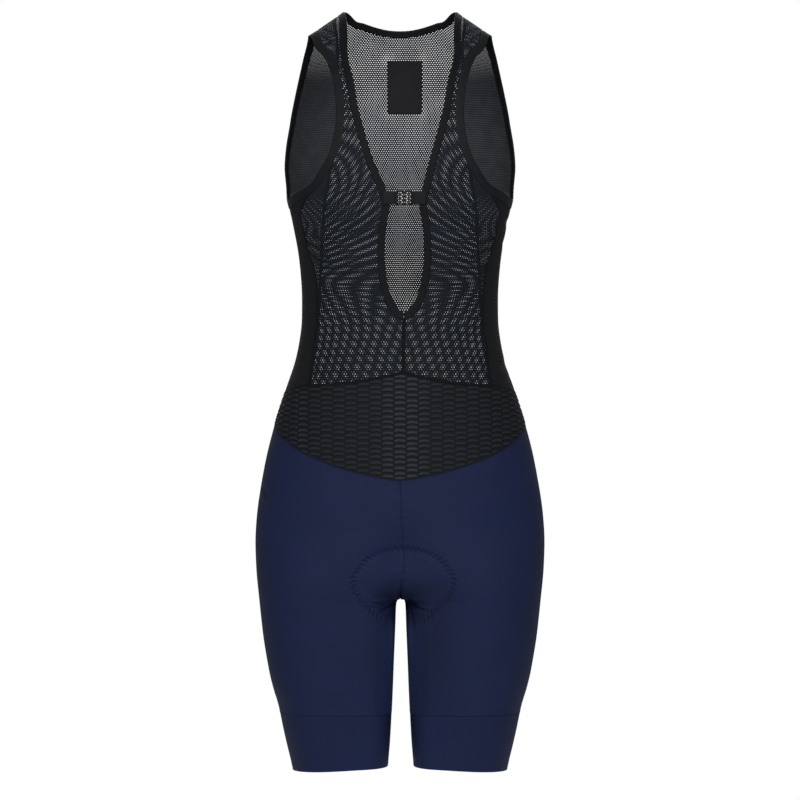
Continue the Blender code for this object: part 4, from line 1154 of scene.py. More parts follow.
class BibColours(bpy.types.PropertyGroup):
    navy: bpy.props.FloatVectorProperty(
        name="Navy", description="Jersey of the shorts and leg bands",
        subtype="COLOR", default=(0.0089, 0.0143, 0.0478),
    )
    black_knit: bpy.props.FloatVectorProperty(
        name="Side knit", description="Dark ground of the ribbed side panels",
        subtype="COLOR", default=(0.0066, 0.0072, 0.0088),
    )
    net: bpy.props.FloatVectorProperty(
        name="Net", description="Thread of the open net", subtype="COLOR", default=(0.0061, 0.0077, 0.0111),
    )
    scale_cloth: bpy.props.FloatVectorProperty(
        name="Scale cloth", description="Raised scales of the belly yoke",
        subtype="COLOR", default=(0.0124, 0.0147, 0.0190),
    )
    binding: bpy.props.FloatVectorProperty(
        name="Binding", description="Folded elastic round the openings",
        subtype="COLOR", default=(0.0070, 0.0076, 0.0095),
    )
    plastic: bpy.props.FloatVectorProperty(
        name="Plastic", description="Front clasp", subtype="COLOR", default=(0.0090, 0.0092, 0.0110),
    )
    label: bpy.props.FloatVectorProperty(
        name="Label", description="Blank label in the neck",
        subtype="COLOR", default=(0.0180, 0.0182, 0.0206),
    )


class BibSizes(bpy.types.PropertyGroup):
    neck_binding: bpy.props.FloatProperty(
        name="Neck binding", description="Width of the folded elastic at the neckline",
        default=0.0080, unit="LENGTH",
    )
    arm_binding: bpy.props.FloatProperty(
        name="Armhole binding", description="Width of the folded elastic at the armholes",
        default=0.0095, unit="LENGTH",
    )
    back_binding: bpy.props.FloatProperty(
        name="Back neck binding", description="Width of the folded elastic at the back of the neck",
        default=0.0078, unit="LENGTH",
    )
    hole_pitch: bpy.props.FloatProperty(
        name="Hole pitch", description="Distance between the net's holes along a row",
        default=0.0026, unit="LENGTH",
    )
    row_pitch: bpy.props.FloatProperty(
        name="Row pitch", description="Distance between the net's rows of holes",
        default=0.0022, unit="LENGTH",
    )
    hole_size: bpy.props.FloatProperty(
        name="Hole size", description="Width of one hole of the net", default=0.00105, unit="LENGTH",
    )
    seam_width: bpy.props.FloatProperty(
        name="Seam width", description="Width of the overlocked seams", default=0.0036, unit="LENGTH",
    )
    scale_height: bpy.props.FloatProperty(
        name="Scale height", description="How far the yoke's scales stand out", default=0.0012, unit="LENGTH",
    )
    band_thickness: bpy.props.FloatProperty(
        name="Band thickness", description="Thickness of the leg bands' cloth", default=0.0012, unit="LENGTH",
    )


class StudioSettings(bpy.types.PropertyGroup):
    distance: bpy.props.FloatProperty(
        name="Camera distance", description="How far the camera stands in front", default=4.5, unit="LENGTH",
    )
    height: bpy.props.FloatProperty(
        name="Camera height", description="Height that the camera looks at", default=-0.433, unit="LENGTH",
    )
    frame_width: bpy.props.FloatProperty(
        name="Frame width", description="Width that fills the picture", default=0.924, unit="LENGTH",
    )
    light: bpy.props.FloatProperty(
        name="Light", description="Strength of all the studio lights together", default=1.0,
    )


def sizes():
    """The garment's sizes, as the panel shows them."""
    return bpy.context.scene.bib_sizes


# Pieces of the bib


SIDES = (("left", 1), ("right", -1))
NET_COLUMNS = 72
BACK_NET_COLUMNS = 96
SIDE_COLUMNS = 90
WAIST_POINTS = 320
SHOULDER_POINTS = 24
BACK_NECK_POINTS = 150
BINDING_POINTS = 22
BINDING_CROWN = 0.0008
BINDING_ROLL = 0.0004
BINDING_DEPTH = 0.0011
SEAM_POINTS = 14
SEAM_DEPTH = 0.0008
OVERLAP = 0.0006

# Gentle drags where the bib's panels are held at the waist seam, the clasp and the side seams
BIB_CREASES = table(
    Crease,
    (-0.102, -0.4130, -0.085, -0.3880, 0.0040, 0.0010),
    (-0.088, -0.4120, -0.078, -0.3860, 0.0036, 0.0009),
    (-0.074, -0.4110, -0.068, -0.3920, 0.0034, 0.0007),
    (0.094, -0.4130, 0.080, -0.3880, 0.0040, 0.0008),
    (0.076, -0.4120, 0.070, -0.3930, 0.0034, 0.0006),
    (-0.026, -0.2060, -0.060, -0.2000, 0.0050, 0.0008),
    (0.026, -0.2060, 0.060, -0.1980, 0.0050, 0.0008),
    (-0.116, -0.2500, -0.080, -0.2440, 0.0090, 0.0012),
    (0.116, -0.2520, 0.082, -0.2420, 0.0090, 0.0012),
    (-0.118, -0.3100, -0.096, -0.3300, 0.0080, 0.0010),
    (0.116, -0.3060, 0.098, -0.3280, 0.0080, 0.0010),
)
BACK_BIB_CREASES = table(
    Crease,
    (-0.070, -0.3900, -0.030, -0.3740, 0.0070, 0.0010),
    (0.066, -0.3860, 0.028, -0.3700, 0.0070, 0.0010),
    (-0.020, -0.4200, -0.030, -0.3900, 0.0050, 0.0008),
    (0.022, -0.4200, 0.034, -0.3940, 0.0050, 0.0008),
)
SIDE_CREASES = table(
    Crease,
    (0.121, -0.2250, 0.139, -0.2400, 0.0050, 0.0012),
    (0.118, -0.2500, 0.136, -0.2620, 0.0050, 0.0010),
    (0.110, -0.4130, 0.128, -0.4050, 0.0050, 0.0010),
    (0.110, -0.3900, 0.130, -0.3960, 0.0060, 0.0008),
)


def bib_panel(name, spots, creases, side, behind=False, pull=None, stretch=None):
    """One panel of the bib through a grid of spots, with its drags.

    pull says how its knit is pulled at each height, and stretch how wide its holes are."""
    flat = body_point(spots)
    own_x = flat[..., 0] * side
    points = lifted(spots, -crease_depth(own_x, flat[..., 2], creases))
    metres = bib_metres(spots, flat, behind)
    metres = pulled(metres, flat[..., 2], pull) if pull else metres
    return cloth_grid(name, points, metres, side, numbers=stretch and {"amount": stretch(flat)})


# How the nets are pulled at each height: how closely their columns and rows lie against the knit at rest, how
# much the columns lean and how much the rows drop outwards
NetRow = namedtuple("NetRow", "z columns lean rows drop")
FRONT_PULL = table(
    NetRow,
    (0.020, 1.45, 0.00, 0.98, 0.05),
    (-0.060, 1.43, 0.00, 1.00, 0.12),
    (-0.120, 1.21, 0.00, 1.13, 0.30),
    (-0.180, 1.08, 0.00, 1.25, 0.38),
    (-0.220, 1.05, 0.00, 1.30, 0.32),
    (-0.255, 1.09, 0.00, 1.34, 0.20),
    (-0.290, 1.08, -0.01, 1.26, 0.08),
    (-0.325, 1.07, -0.05, 1.15, 0.00),
    (-0.350, 1.06, -0.075, 1.10, 0.00),
    (-0.430, 1.06, -0.075, 1.09, 0.00),
)
BACK_PULL = table(
    NetRow,
    (0.020, 0.93, 0.0, 0.92, 0.0),
    (-0.120, 0.95, 0.0, 0.93, 0.0),
    (-0.180, 1.03, 0.0, 0.95, 0.0),
    (-0.230, 1.06, 0.0, 0.96, 0.0),
    (-0.290, 1.03, 0.0, 0.93, 0.0),
    (-0.325, 0.90, 0.0, 0.85, 0.0),
    (-0.350, 0.83, 0.0, 0.82, 0.0),
    (-0.430, 0.81, 0.0, 0.81, 0.0),
)
PULL_STEPS = 400


def pulled(metres, z, pull):
    """Turns places on a net into places on its knit at rest."""
    across = metres[..., 0]
    heights = np.linspace(pull[-1].z, pull[0].z, PULL_STEPS)
    step = heights[1] - heights[0]
    leant, passed = (
        np.interp(z, heights, np.cumsum(smooth_value(pull, heights, "z", name)) * step)
        for name in ("lean", "rows")
    )
    columns, drop = (smooth_value(pull, z, "z", name) for name in ("columns", "drop"))
    return np.stack((across * columns + leant, passed + (metres[..., 1] - z) + drop * across), axis=-1)


def front_stretch(points):
    """The straps are pulled more open than the rest of the front."""
    z = points[..., 2]
    return mix(1.085, 1.28, soft_step(-0.26, -0.11, z)) + 0.015 * soft_step(-0.290, -0.345, z)


def back_stretch(points):
    """The back net is pulled widest between the shoulders, at the label's corners and behind the clasp."""
    x, z = points[..., 0], points[..., 2]
    behind_clasp = hump(x - 0.0050, 0.009) * hump(z + 0.1950, 0.008)
    corners = [
        hump(np.hypot(x - LABEL_X - side * width / 2, z - end), 0.007)
        for end, width in zip(LABEL_Z, LABEL_WIDTH)
        for side in (-1, 1)
    ]
    even = mix(0.76, 1.03, soft_step(-0.23, -0.06, z)) + 0.14 * soft_step(-0.290, -0.345, z)
    return even + 0.25 * sum(corners) + 0.5 * behind_clasp


def blunt(value, power):
    """Turns a sine or cosine into one of a squarer cross-section."""
    return np.sign(value) * np.abs(value) ** power


def bound_edge(name, near, far, side):
    """Elastic folded over an opening's edge: a rounded cross-section carried along it."""
    angles = np.linspace(0, 2 * math.pi, BINDING_POINTS + 1)
    share = 0.5 - 0.5 * blunt(np.cos(angles), 0.5)
    lift = blunt(np.sin(angles), 0.55)
    crown = BINDING_CROWN + BINDING_ROLL * hump(share - 0.12, 0.2)
    full = np.where(lift > 0, crown, BINDING_DEPTH) * lift
    spots = mix(near[:, None], far[:, None], share[None, :, None])
    points = lifted(spots, np.broadcast_to(full, spots.shape[:2]))
    width = np.linalg.norm(body_point(far) - body_point(near), axis=1).mean()
    down = along_rows(body_point(near)[:, None])[:, 0, 1]
    metres = np.stack(np.broadcast_arrays(share[None] * width, down[:, None]), axis=-1)
    return closed_strip(name, points, metres, side)


def seam_strip(name, middle, normals, width, side=1, crown=0.0005, closed=False):
    """A raised overlocked seam along a line of points on the cloth."""
    run = np.gradient(middle, axis=0)
    if closed:
        run[0] = run[-1] = middle[1] - middle[-2]
    across = unit(np.cross(run, normals))
    angles = np.linspace(0, 2 * math.pi, SEAM_POINTS + 1)
    share = -blunt(np.cos(angles), 0.7)
    rise = np.sin(angles)
    lift = np.where(rise > 0, crown * np.sqrt(np.abs(rise)), SEAM_DEPTH * rise)
    aside = share[None] * np.broadcast_to(width, len(middle))[:, None] / 2
    points = middle[:, None] + across[:, None] * aside[..., None] + normals[:, None] * lift[None, :, None]
    down = along_rows(middle[:, None])[:, 0, 1]
    metres = np.stack(np.broadcast_arrays(aside, down[:, None]), axis=-1)
    return closed_strip(name, points, metres, side)


def bib_seam(name, spots, side, width=None, closed=False):
    """A seam between the bib's panels, with its thread."""
    width = width or sizes().seam_width
    made = seam_strip(name, body_point(spots), outward(spots), width, side, closed=closed)
    keep(made, seam_thread("bib seam thread", False))


class BIB_OT_front_net(bpy.types.Operator):
    """Makes the two net panels of the front, from the shoulders to the belly yoke"""

    bl_idname = "bib.front_net"
    bl_label = "Front net panels"

    def execute(self, context):
        for word, side in SIDES:
            found = seams(side)
            spots = panel_spots(found["front_inner"], found["front_outer"], NET_COLUMNS, side)
            made = bib_panel(
                f"net_front_{word}", spots, BIB_CREASES, side, pull=FRONT_PULL, stretch=front_stretch
            )
            net = open_net("soft front net", 0.00024, 0.22, 0.99, (0.90, 1.04, 1.10), 0.80)
            keep(made, net, [f"bib_front_{word}"])
        return {"FINISHED"}


class BIB_OT_back_net(bpy.types.Operator):
    """Makes the net panel of the back, which is one piece from side to side"""

    bl_idname = "bib.back_net"
    bl_label = "Back net panel"

    def execute(self, context):
        start = seams(1)["back_inner"]
        top = beside(path_through(back_neck_path(), BACK_NET_COLUMNS + 1), -sizes().back_binding - HALF_GAP)
        top[[0, -1]] = start[0], mirrored(start)[0]
        spots = panel_spots(start, mirrored(start), BACK_NET_COLUMNS, 1, top=top)
        made = bib_panel(
            "net_back", spots, BACK_BIB_CREASES, 1, behind=True, pull=BACK_PULL, stretch=back_stretch
        )
        net = open_net("open back net", 0.00006, 0.0, 1.0, (0.8, 1.1, 1.5), 1.04)
        keep(made, net, ["back_net"])
        return {"FINISHED"}


class BIB_OT_side_knits(bpy.types.Operator):
    """Makes the ribbed knit panels under the arms"""

    bl_idname = "bib.side_knits"
    bl_label = "Side panels"

    def execute(self, context):
        for word, side in SIDES:
            found = seams(side)
            spots = panel_spots(found["side_front"], found["back_outer"], SIDE_COLUMNS, side)
            made = bib_panel(f"side_knit_{word}", spots, SIDE_CREASES, side)
            keep(made, side_knit(), [f"side_panel_{word}"])
        return {"FINISHED"}


class BIB_OT_bindings(bpy.types.Operator):
    """Makes the folded elastic round the neckline, the armholes and the back of the neck"""

    bl_idname = "bib.bindings"
    bl_label = "Bindings"

    def execute(self, context):
        for word, side in SIDES:
            found = seams(side)
            neck = found["neck"]
            far = beside(neck, sizes().neck_binding + OVERLAP)
            far[0, 1] = RIDGE_START
            far[-1] = at_centre(side, body_point(far[-1:])[0, 2])
            made = bound_edge(f"bound_neck_{word}", neck, far, side)
            keep(made, binding_tape("neck tape", (0.0062, 0.0070), 0.55), [f"neck_binding_{word}"])
            far = beside(found["arm"], -sizes().arm_binding - OVERLAP)
            far[[0, -1], 1] = RIDGE_START
            made = bound_edge(f"bound_armhole_{word}", found["arm"], far, side)
            keep(made, binding_tape("armhole tape", (0.0072, 0.0084)), [f"armhole_binding_{word}"])
        neck = path_through(back_neck_path(), BACK_NECK_POINTS)
        far = beside(neck, -sizes().back_binding - OVERLAP)
        for edge in (neck, far):
            edge[[0, -1], 1] = RIDGE_START
        made = bound_edge("bound_back_neck", neck, far, 1)
        # The back neck tape is made lighter than the others: painted light on its inner face, which lies in
        # shade
        keep(made, binding_tape("back neck tape", (0.0012, 0.0064), 1.3), ["back_neck_binding"])
        return {"FINISHED"}


class BIB_OT_bib_seams(bpy.types.Operator):
    """Makes the raised seams between the panels of the bib"""

    bl_idname = "bib.bib_seams"
    bl_label = "Bib seams"

    def execute(self, context):
        for word, side in SIDES:
            found = seams(side)
            bib_seam(f"side_seam_{word}", found["side"], side)
            bib_seam(f"back_seam_{word}", found["back"], side)
            inner = turn_at(np.asarray(NECK_EDGE_TOP_X + sizes().neck_binding), np.asarray(0.0))
            outer = turn_at(np.asarray(SHOULDER_TIP_X - sizes().arm_binding), np.asarray(-0.02))
            turns = np.linspace(inner, outer, SHOULDER_POINTS)
            ridge = np.stack((turns, np.zeros_like(turns)), axis=-1)
            bib_seam(f"shoulder_seam_{word}", ridge, side, 0.0050)
        centre = seams(1)["centre"].copy()
        z = body_point(centre)[:, 2]
        bib_seam("bib_centre_seam", spot(centre_x(z), z), 1, 0.0040)
        turns = np.linspace(-math.pi, math.pi, WAIST_POINTS)
        bib_seam("waist_seam", spot_at_turn(turns, whole_waist_z(turns)), 1, closed=True)
        tip = math.radians(YOKE_TIP_TURN)
        turns = np.linspace(-tip, tip, WAIST_POINTS)
        spots = spot_at_turn(turns, shorts_top_z(turns))
        width = sizes().seam_width * 0.45
        made = seam_strip("yoke_foot_seam", body_point(spots), outward(spots), width, crown=0.0003)
        keep(made, seam_thread("shorts seam thread", True))
        return {"FINISHED"}


# The belly yoke: columns of scales, each a pillow that rises downwards and ends in an arched lip
SCALE_WIDTH = 0.0139
SCALE_PITCH = 0.0061
EVEN_COLUMNS_X = 0.105
ARCH = 0.17
YOKE_COLUMNS = 600
YOKE_ROWS = 124


def scale_columns(turn, z):
    """Counts the columns of scales from the centre: even from the front, then by length round the side."""
    x = body_point(spot_at_turn(turn, z))[..., 0]
    edge = turn_at(np.full_like(z, EVEN_COLUMNS_X), z)
    past = arc_length(np.abs(turn), z) - arc_length(edge, z)
    return np.where(np.abs(turn) < edge, x, np.sign(turn) * (EVEN_COLUMNS_X + past)) / SCALE_WIDTH


def scale_relief(count, z):
    """Height of the scales, from 0 between them to 1 on their lips."""
    number = np.rint(count)
    off = np.abs(count - number) * 2
    passed = (YOKE_PEAK_Z - z) / SCALE_PITCH + 0.5 * (number % 2) - ARCH * off**2
    passed = passed + 0.06 * np.sin(number * 2.3 + np.floor(passed) * 1.7)
    share = passed - np.floor(passed)
    rise = soft_step(0.0, 0.78, share) * (1 - soft_step(0.80, 0.99, share))
    pillow = 1 - 0.6 * soft_step(0.72, 1.0, off)
    return rise * pillow


class BIB_OT_yoke(bpy.types.Operator):
    """Makes the belly yoke of raised scale cloth, from hip to hip round the front"""

    bl_idname = "bib.yoke"
    bl_label = "Belly yoke"

    def execute(self, context):
        tip = math.radians(YOKE_TIP_TURN)
        turns = np.linspace(-tip, tip, YOKE_COLUMNS + 1)
        share = np.linspace(0, 1, YOKE_ROWS + 1)[:, None]
        z = mix(whole_waist_z(turns) - HALF_GAP, shorts_top_z(turns), share)
        turns = np.broadcast_to(turns, z.shape)
        spots = spot_at_turn(turns, z)
        count = scale_columns(turns, z)
        height = scale_relief(count, z)
        edge = soft_step(0.0, 0.0030, np.minimum(z[:1] - z, z - z[-1:]))
        points = lifted(spots, sizes().scale_height * (height - 0.25) * edge)
        # amount is the scales' height, which the scale cloth uses for its painted shade and painted
        # highlights
        made = cloth_grid("scale_yoke", points, bib_metres(spots, points), numbers={"amount": height * edge})
        keep(made, scale_cloth(), ["front_yoke"])
        return {"FINISHED"}


# Fastenings and the label
CLASP_Z = -0.2045
CLASP_HEIGHT = 0.0165
CLASP_THICK = 0.0030
CLASP_HALF_WIDTH = 0.0090
CLASP_BARS = (0.00015, 0.0019, 0.0042, 0.0060, 0.0078, CLASP_HALF_WIDTH)
SLOT_HEIGHT = 0.0143
SLOT_REACH = 0.0018
CLASP_SOFTNESS = 0.0004
CLASP_STANDOFF = 0.0011
TAB_HEIGHT = 0.0148
TAB_THICK = 0.0012
TAB_REACH = 0.0235
TAB_POINTS = 40
TAB_TUCK = 0.0006
TAB_STEP = 0.0009
TAB_HOOK = 0.0030
TAB_STANDOFF = 0.0020
LABEL_X = 0.0056
LABEL_Z = (-0.0334, -0.0962)
LABEL_WIDTH = (0.0420, 0.0408)
LABEL_SINK = 0.0026
LABEL_SKIN = 0.0006
LABEL_ROWS = 40
LABEL_COLUMNS = 28


def clasp_plate(name, side):
    """One half of the clasp: a moulded plate with two upright slots and softened edges."""
    middle = centre_x(CLASP_Z)
    front_y = body_point(spot(middle, CLASP_Z))[1] - CLASP_STANDOFF
    heights = (-CLASP_HEIGHT / 2, -SLOT_HEIGHT / 2, SLOT_HEIGHT / 2, CLASP_HEIGHT / 2)
    built = bmesh.new()
    bmesh.ops.create_grid(built, x_segments=len(CLASP_BARS) - 1, y_segments=len(heights) - 1, size=0.5)
    for vertex in built.verts:
        column = round((vertex.co.x + 0.5) * (len(CLASP_BARS) - 1))
        row = round((vertex.co.y + 0.5) * (len(heights) - 1))
        vertex.co = (CLASP_BARS[column], 0, heights[row])
    bars = (CLASP_BARS[1], CLASP_BARS[3])
    slots = []
    for face in built.faces:
        place = face.calc_center_median()
        if abs(place.z) < SLOT_HEIGHT / 2 and any(bar < place.x < bar + SLOT_REACH for bar in bars):
            slots.append(face)
    bmesh.ops.delete(built, geom=slots, context="FACES")
    grown = bmesh.ops.extrude_face_region(built, geom=list(built.faces))
    moved = [item for item in grown["geom"] if isinstance(item, bmesh.types.BMVert)]
    bmesh.ops.translate(built, vec=(0, CLASP_THICK, 0), verts=moved)
    bmesh.ops.recalc_face_normals(built, faces=built.faces)
    sharp = [edge for edge in built.edges if edge.calc_face_angle(0) > 1.0]
    bmesh.ops.bevel(
        built, geom=sharp, offset=CLASP_SOFTNESS, offset_type="OFFSET", segments=3, profile=0.5,
        affect="EDGES", material=-1,
    )
    if side < 0:
        bmesh.ops.scale(built, vec=(-1, 1, 1), verts=built.verts)
        bmesh.ops.reverse_faces(built, faces=built.faces)
    bmesh.ops.translate(built, vec=(middle, front_y, CLASP_Z), verts=built.verts)
    mesh = bpy.data.meshes.new(name)
    built.to_mesh(mesh)
    built.free()
    mesh.shade_smooth()
    mesh.set_sharp_from_angle(angle=math.radians(40))
    return linked(name, mesh)


class BIB_OT_clasp(bpy.types.Operator):
    """Makes the two halves of the front clasp, fastened, with the elastic that holds each"""

    bl_idname = "bib.clasp"
    bl_label = "Front clasp"

    def execute(self, context):
        for word, side in SIDES:
            keep(clasp_plate(f"clasp_half_{word}", side), moulded_plastic(), [f"clasp_{word}"])
            x = np.linspace(CLASP_BARS[4] - TAB_TUCK, TAB_REACH, TAB_POINTS)
            angles = np.linspace(0, 2 * math.pi, BINDING_POINTS + 1)
            up = 0.5 - 0.5 * blunt(np.cos(angles), 0.4)
            lift = blunt(np.sin(angles), 0.6) * TAB_THICK / 2
            z = CLASP_Z + TAB_HEIGHT * (0.5 - up)
            over = TAB_STEP * hump(np.maximum(x - CLASP_HALF_WIDTH - CLASP_SOFTNESS, 0), 0.0012)
            into = -TAB_HOOK * soft_step(0.0008, 0.0, x - x[0])
            base = TAB_STANDOFF + over + into
            spots = spot(x[:, None] + side * centre_x(CLASP_Z), z[None])
            points = lifted(spots, base[:, None] + lift[None])
            metres = np.stack(np.broadcast_arrays(up[None] * TAB_HEIGHT, x[:, None]), axis=-1)
            made = closed_strip(f"clasp_elastic_{word}", points, metres, side)
            keep(made, binding_tape("clasp elastic", ()), [f"clasp_tab_{word}"])
        return {"FINISHED"}


class BIB_OT_label(bpy.types.Operator):
    """Makes the blank woven label inside the back of the neck"""

    bl_idname = "bib.label"
    bl_label = "Blank label"

    def execute(self, context):
        down = np.linspace(0, 1, LABEL_ROWS)[:, None]
        across = np.linspace(-1, 1, LABEL_COLUMNS)[None]
        z = np.broadcast_to(mix(*LABEL_Z, down), (LABEL_ROWS, LABEL_COLUMNS))
        x = LABEL_X + across * mix(*LABEL_WIDTH, down) / 2
        spots = spot(x, z, back=True)
        wave = 0.0004 * np.sin(down * 5 + across * 1.3) - 0.0003 * hump(np.abs(across) - 1, 0.12)
        points = lifted(spots, -LABEL_SINK + wave)[:, ::-1]
        metres = np.stack((x, z), axis=-1)[:, ::-1]
        made = cloth_grid("blank_label", points, metres)
        thicken(made, LABEL_SKIN)
        keep(made, woven_label(), ["back_label"])
        return {"FINISHED"}


# The shorts
SHARE_STOPS = (0.0, 0.16, 0.84, 1.0)
SHARE_STEPS = (92, 96, 92)
HIP_ROWS = 64
FIRST_LEVEL_Z = -0.586
LEVEL_STOPS = (FIRST_LEVEL_Z, -0.6500, -0.6620, -0.6720, -0.7100, LEG_END_Z)
LEVEL_STEPS = (70, 45, 20, 42, 28)
BAND_ROWS = 36
BAND_COLUMNS = 150
EDGE_SHARES = np.array((0.0, 0.002, 0.004))
CENTRE_SEAM_POINTS = 200
CENTRE_SEAM_CROWDING = 2.2
INNER_SEAM_POINTS = 90
BAND_SEAM_POINTS = 161


def stepped(stops, steps):
    """Values from stop to stop, with a number of even steps between each two."""
    parts = [np.linspace(a, b, count, endpoint=False) for a, b, count in zip(stops, stops[1:], steps)]
    return np.append(np.concatenate(parts), stops[-1])


def shorts_surface(side, share, z):
    """Points of the shorts' outer face on a grid, with its relief and the numbers for its material."""
    points = shorts_point(side, share, z)
    normals = grid_normals(points, z[:, 0] < CROTCH_Z)
    height, numbers = shorts_relief(points * (side, 1, 1), share < 0.5)
    return points + normals * height[..., None], numbers


def centre_line(share, z):
    """Points midway between the two halves of the shorts at their front (share 0) or back edges (share 1)."""
    beside_edge = EDGE_SHARES if share == 0 else 1 - EDGE_SHARES[::-1]
    shares, levels = np.broadcast_arrays(beside_edge, z[:, None])
    left, right = (shorts_surface(side, shares, levels)[0][:, -int(share)] for _, side in SIDES)
    return (left + right * (-1, 1, 1)) / 2


class BIB_OT_shorts(bpy.types.Operator):
    """Makes the two halves of the shorts, with the stitched outline of the seat pad and their creases"""

    bl_idname = "bib.shorts"
    bl_label = "Shorts"

    def execute(self, context):
        for word, side in SIDES:
            share = stepped(SHARE_STOPS, SHARE_STEPS)[None]
            top = shorts_top_z(math.pi * share) - HALF_GAP
            hips = mix(top, FIRST_LEVEL_Z, np.arange(HIP_ROWS)[:, None] / HIP_ROWS)
            levels = stepped(LEVEL_STOPS, LEVEL_STEPS)[:, None]
            z = np.vstack((hips, np.broadcast_to(levels, (len(levels), share.size))))
            share = np.broadcast_to(share, z.shape)
            points, numbers = shorts_surface(side, share, z)
            made = cloth_grid(f"navy_short_{word}", points, along_rows(points), side, True, numbers)
            keep(made, navy_jersey(), [f"shorts_{word}"])
        return {"FINISHED"}


class BIB_OT_leg_bands(bpy.types.Operator):
    """Makes the ribbed elastic bands that hold the hems on the thighs"""

    bl_idname = "bib.leg_bands"
    bl_label = "Leg bands"

    def execute(self, context):
        for word, side in SIDES:
            share = np.linspace(0, 1, BAND_COLUMNS + 1)[None]
            hem = HEM_Z + HEM_SLANT * np.cos(2 * math.pi * share)
            z = mix(LEG_END_Z, hem, np.linspace(0, 1, BAND_ROWS + 1)[:, None])
            share = np.broadcast_to(share, z.shape)
            points = shorts_point(side, share, z)
            made = cloth_grid(f"leg_band_{word}", points, along_rows(points), side, merge=True)
            thicken(made, sizes().band_thickness)
            keep(made, ribbed_band(), [f"gripper_{word}"])
        return {"FINISHED"}


class BIB_OT_shorts_seams(bpy.types.Operator):
    """Makes the seams down the middle of the shorts, along the inner legs and over the leg bands"""

    bl_idname = "bib.shorts_seams"
    bl_label = "Shorts seams"

    def execute(self, context):
        thread = seam_thread("shorts seam thread", True)
        width = sizes().seam_width
        front_top = float(shorts_top_z(np.asarray(0.0)))
        for name, share, top, right in (("front", 0.0, front_top, 1.0), ("back", 1.0, BACK_WAIST_Z, -1.0)):
            z = CROTCH_Z + (top - CROTCH_Z) * np.linspace(1, 0, CENTRE_SEAM_POINTS) ** CENTRE_SEAM_CROWDING
            middle = centre_line(share, z)
            normals = unit(np.cross(unit(np.gradient(middle, axis=0)), np.array((right, 0, 0))))
            under = soft_step(-0.622, -0.640, z)
            middle = middle - normals * 0.0006 * under[:, None]
            wide = width * (0.28 + 0.56 * under)
            keep(seam_strip(f"shorts_{name}_seam", middle, normals, wide, crown=0.0002), thread)
        for word, side in SIDES:
            z = np.linspace(CROTCH_Z - 0.0010, LEG_END_Z, INNER_SEAM_POINTS)
            inner = shorts_point(side, np.zeros_like(z), z)
            normals = np.broadcast_to((-1.0, 0.0, 0.0), inner.shape)
            made = seam_strip(f"inner_leg_seam_{word}", inner, normals, width * 0.6, side, crown=0.0002)
            keep(made, thread)
            share = np.linspace(0, 1, BAND_SEAM_POINTS)
            share, z = np.broadcast_arrays(share, LEG_END_Z + np.array((0.001, 0.0, -0.001))[:, None])
            points = shorts_point(side, share, z)
            normals = grid_normals(points, np.full(3, True))[1]
            middle = points[1] - normals * 0.0003
            made = seam_strip(f"band_seam_{word}", middle, normals, width * 0.4, side, closed=True)
            keep(made, thread)
        return {"FINISHED"}


# The studio
FLOOR_Z = -0.95


def area_light(name, place, target, size, power):
    """A soft square light that faces a target."""
    light = bpy.data.lights.new(name, "AREA")
    light.shape = "SQUARE"
    light.size = size
    light.energy = power * bpy.context.scene.bib_studio.light
    made = linked(name, light)
    made.location = place
    made.rotation_euler = (Vector(target) - Vector(place)).to_track_quat("-Z", "Y").to_euler()


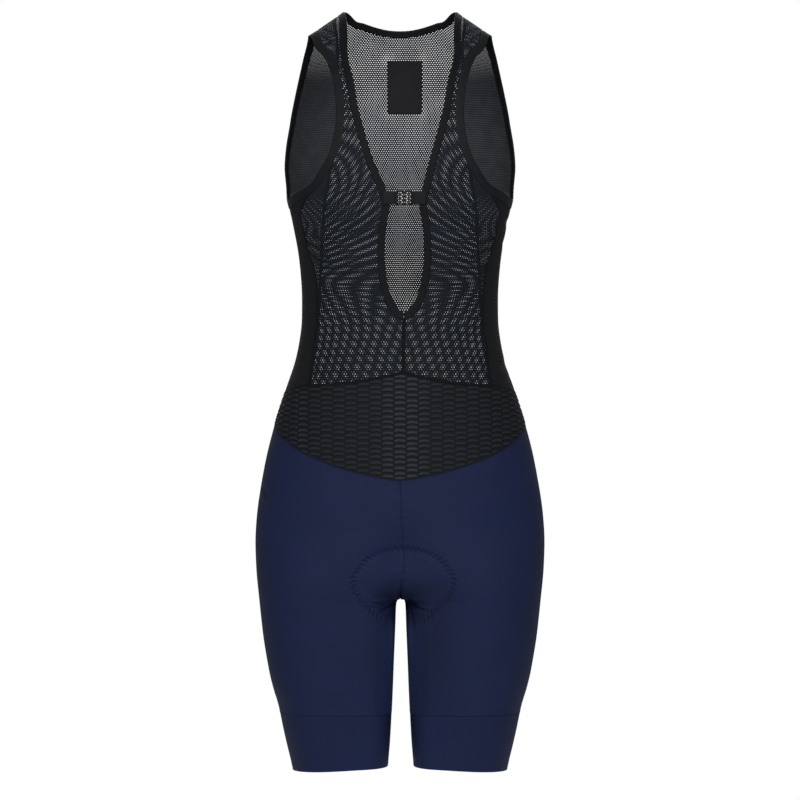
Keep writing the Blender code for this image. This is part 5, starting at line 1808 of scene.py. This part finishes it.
class BIB_OT_studio(bpy.types.Operator):
    """Sets up the camera, the soft lights, the white surroundings and a pale floor"""

    bl_idname = "bib.studio"
    bl_label = "Studio"

    def execute(self, context):
        scene = context.scene
        studio = scene.bib_studio
        scene.view_settings.view_transform = "Standard"

        lens = bpy.data.cameras.new("front camera")
        lens.lens = lens.sensor_width * studio.distance / studio.frame_width
        camera = linked("front camera", lens)
        camera.location = (0, -studio.distance, studio.height)
        camera.rotation_euler = (math.pi / 2, 0, 0)
        scene.camera = camera

        middle = (0, 0, studio.height)
        area_light("front light", (0.0, -3.4, 1.0), middle, 3.0, 120)
        area_light("left light", (-2.6, -1.6, 0.4), middle, 2.0, 7)
        area_light("right light", (2.6, -1.8, 0.6), middle, 2.0, 5)
        area_light("back light", (0.0, 3.0, 1.2), middle, 2.4, 40)

        world = bpy.data.worlds.new("white surroundings")
        world.use_nodes = True
        scene.world = world
        nodes, links = world.node_tree.nodes, world.node_tree.links
        ambient = nodes["Background"]
        ambient.inputs["Color"].default_value = (1, 1, 1, 1)
        ambient.inputs["Strength"].default_value = 0.28 * studio.light
        seen = nodes.new("ShaderNodeBackground")
        seen.inputs["Color"].default_value = (1, 1, 1, 1)
        seen.inputs["Strength"].default_value = 1.0
        either = nodes.new("ShaderNodeMixShader")
        rays = nodes.new("ShaderNodeLightPath")
        links.new(rays.outputs["Is Camera Ray"], either.inputs["Fac"])
        links.new(ambient.outputs["Background"], either.inputs[1])
        links.new(seen.outputs["Background"], either.inputs[2])
        links.new(either.outputs["Shader"], nodes["World Output"].inputs["Surface"])

        built = bmesh.new()
        bmesh.ops.create_grid(built, x_segments=1, y_segments=1, size=0.5)
        bmesh.ops.translate(built, vec=(0, 0, FLOOR_Z), verts=built.verts)
        mesh = bpy.data.meshes.new("pale floor")
        built.to_mesh(mesh)
        built.free()
        paint = bpy.data.materials.new("pale paint")
        paint.use_nodes = True
        shader = paint.node_tree.nodes["Principled BSDF"]
        shader.inputs["Base Color"].default_value = (0.9, 0.9, 0.9, 1)
        shader.inputs["Roughness"].default_value = 0.8
        mesh.materials.append(paint)
        linked("pale floor", mesh)
        return {"FINISHED"}


# Registration


PIECES = (
    BIB_OT_front_net,
    BIB_OT_back_net,
    BIB_OT_side_knits,
    BIB_OT_bindings,
    BIB_OT_bib_seams,
    BIB_OT_yoke,
    BIB_OT_clasp,
    BIB_OT_label,
    BIB_OT_shorts,
    BIB_OT_leg_bands,
    BIB_OT_shorts_seams,
    BIB_OT_studio,
)


class BIB_PT_pieces(bpy.types.Panel):
    """Lists the garment's pieces, with its sizes and colours"""

    bl_idname = "BIB_PT_pieces"
    bl_label = "Bib shorts"
    bl_space_type = "VIEW_3D"
    bl_region_type = "UI"
    bl_category = "Bib shorts"

    def draw(self, context):
        layout = self.layout
        for piece in PIECES:
            layout.operator(piece.bl_idname)
        for group in (context.scene.bib_sizes, context.scene.bib_colours, context.scene.bib_studio):
            box = layout.box()
            for name in group.__annotations__:
                box.prop(group, name)


GROUPS = (BibSizes, BibColours, StudioSettings)
CLASSES = (*GROUPS, *PIECES, BIB_PT_pieces)


def register():
    for made in CLASSES:
        bpy.utils.register_class(made)
    bpy.types.Scene.bib_sizes = bpy.props.PointerProperty(type=BibSizes)
    bpy.types.Scene.bib_colours = bpy.props.PointerProperty(type=BibColours)
    bpy.types.Scene.bib_studio = bpy.props.PointerProperty(type=StudioSettings)


def unregister():
    del bpy.types.Scene.bib_studio
    del bpy.types.Scene.bib_colours
    del bpy.types.Scene.bib_sizes
    for made in reversed(CLASSES):
        bpy.utils.unregister_class(made)


def main():
    register()
    bpy.ops.bib.front_net()
    bpy.ops.bib.back_net()
    bpy.ops.bib.side_knits()
    bpy.ops.bib.bindings()
    bpy.ops.bib.bib_seams()
    bpy.ops.bib.yoke()
    bpy.ops.bib.clasp()
    bpy.ops.bib.label()
    bpy.ops.bib.shorts()
    bpy.ops.bib.leg_bands()
    bpy.ops.bib.shorts_seams()
    bpy.ops.bib.studio()


if __name__ == "__main__":
    main()
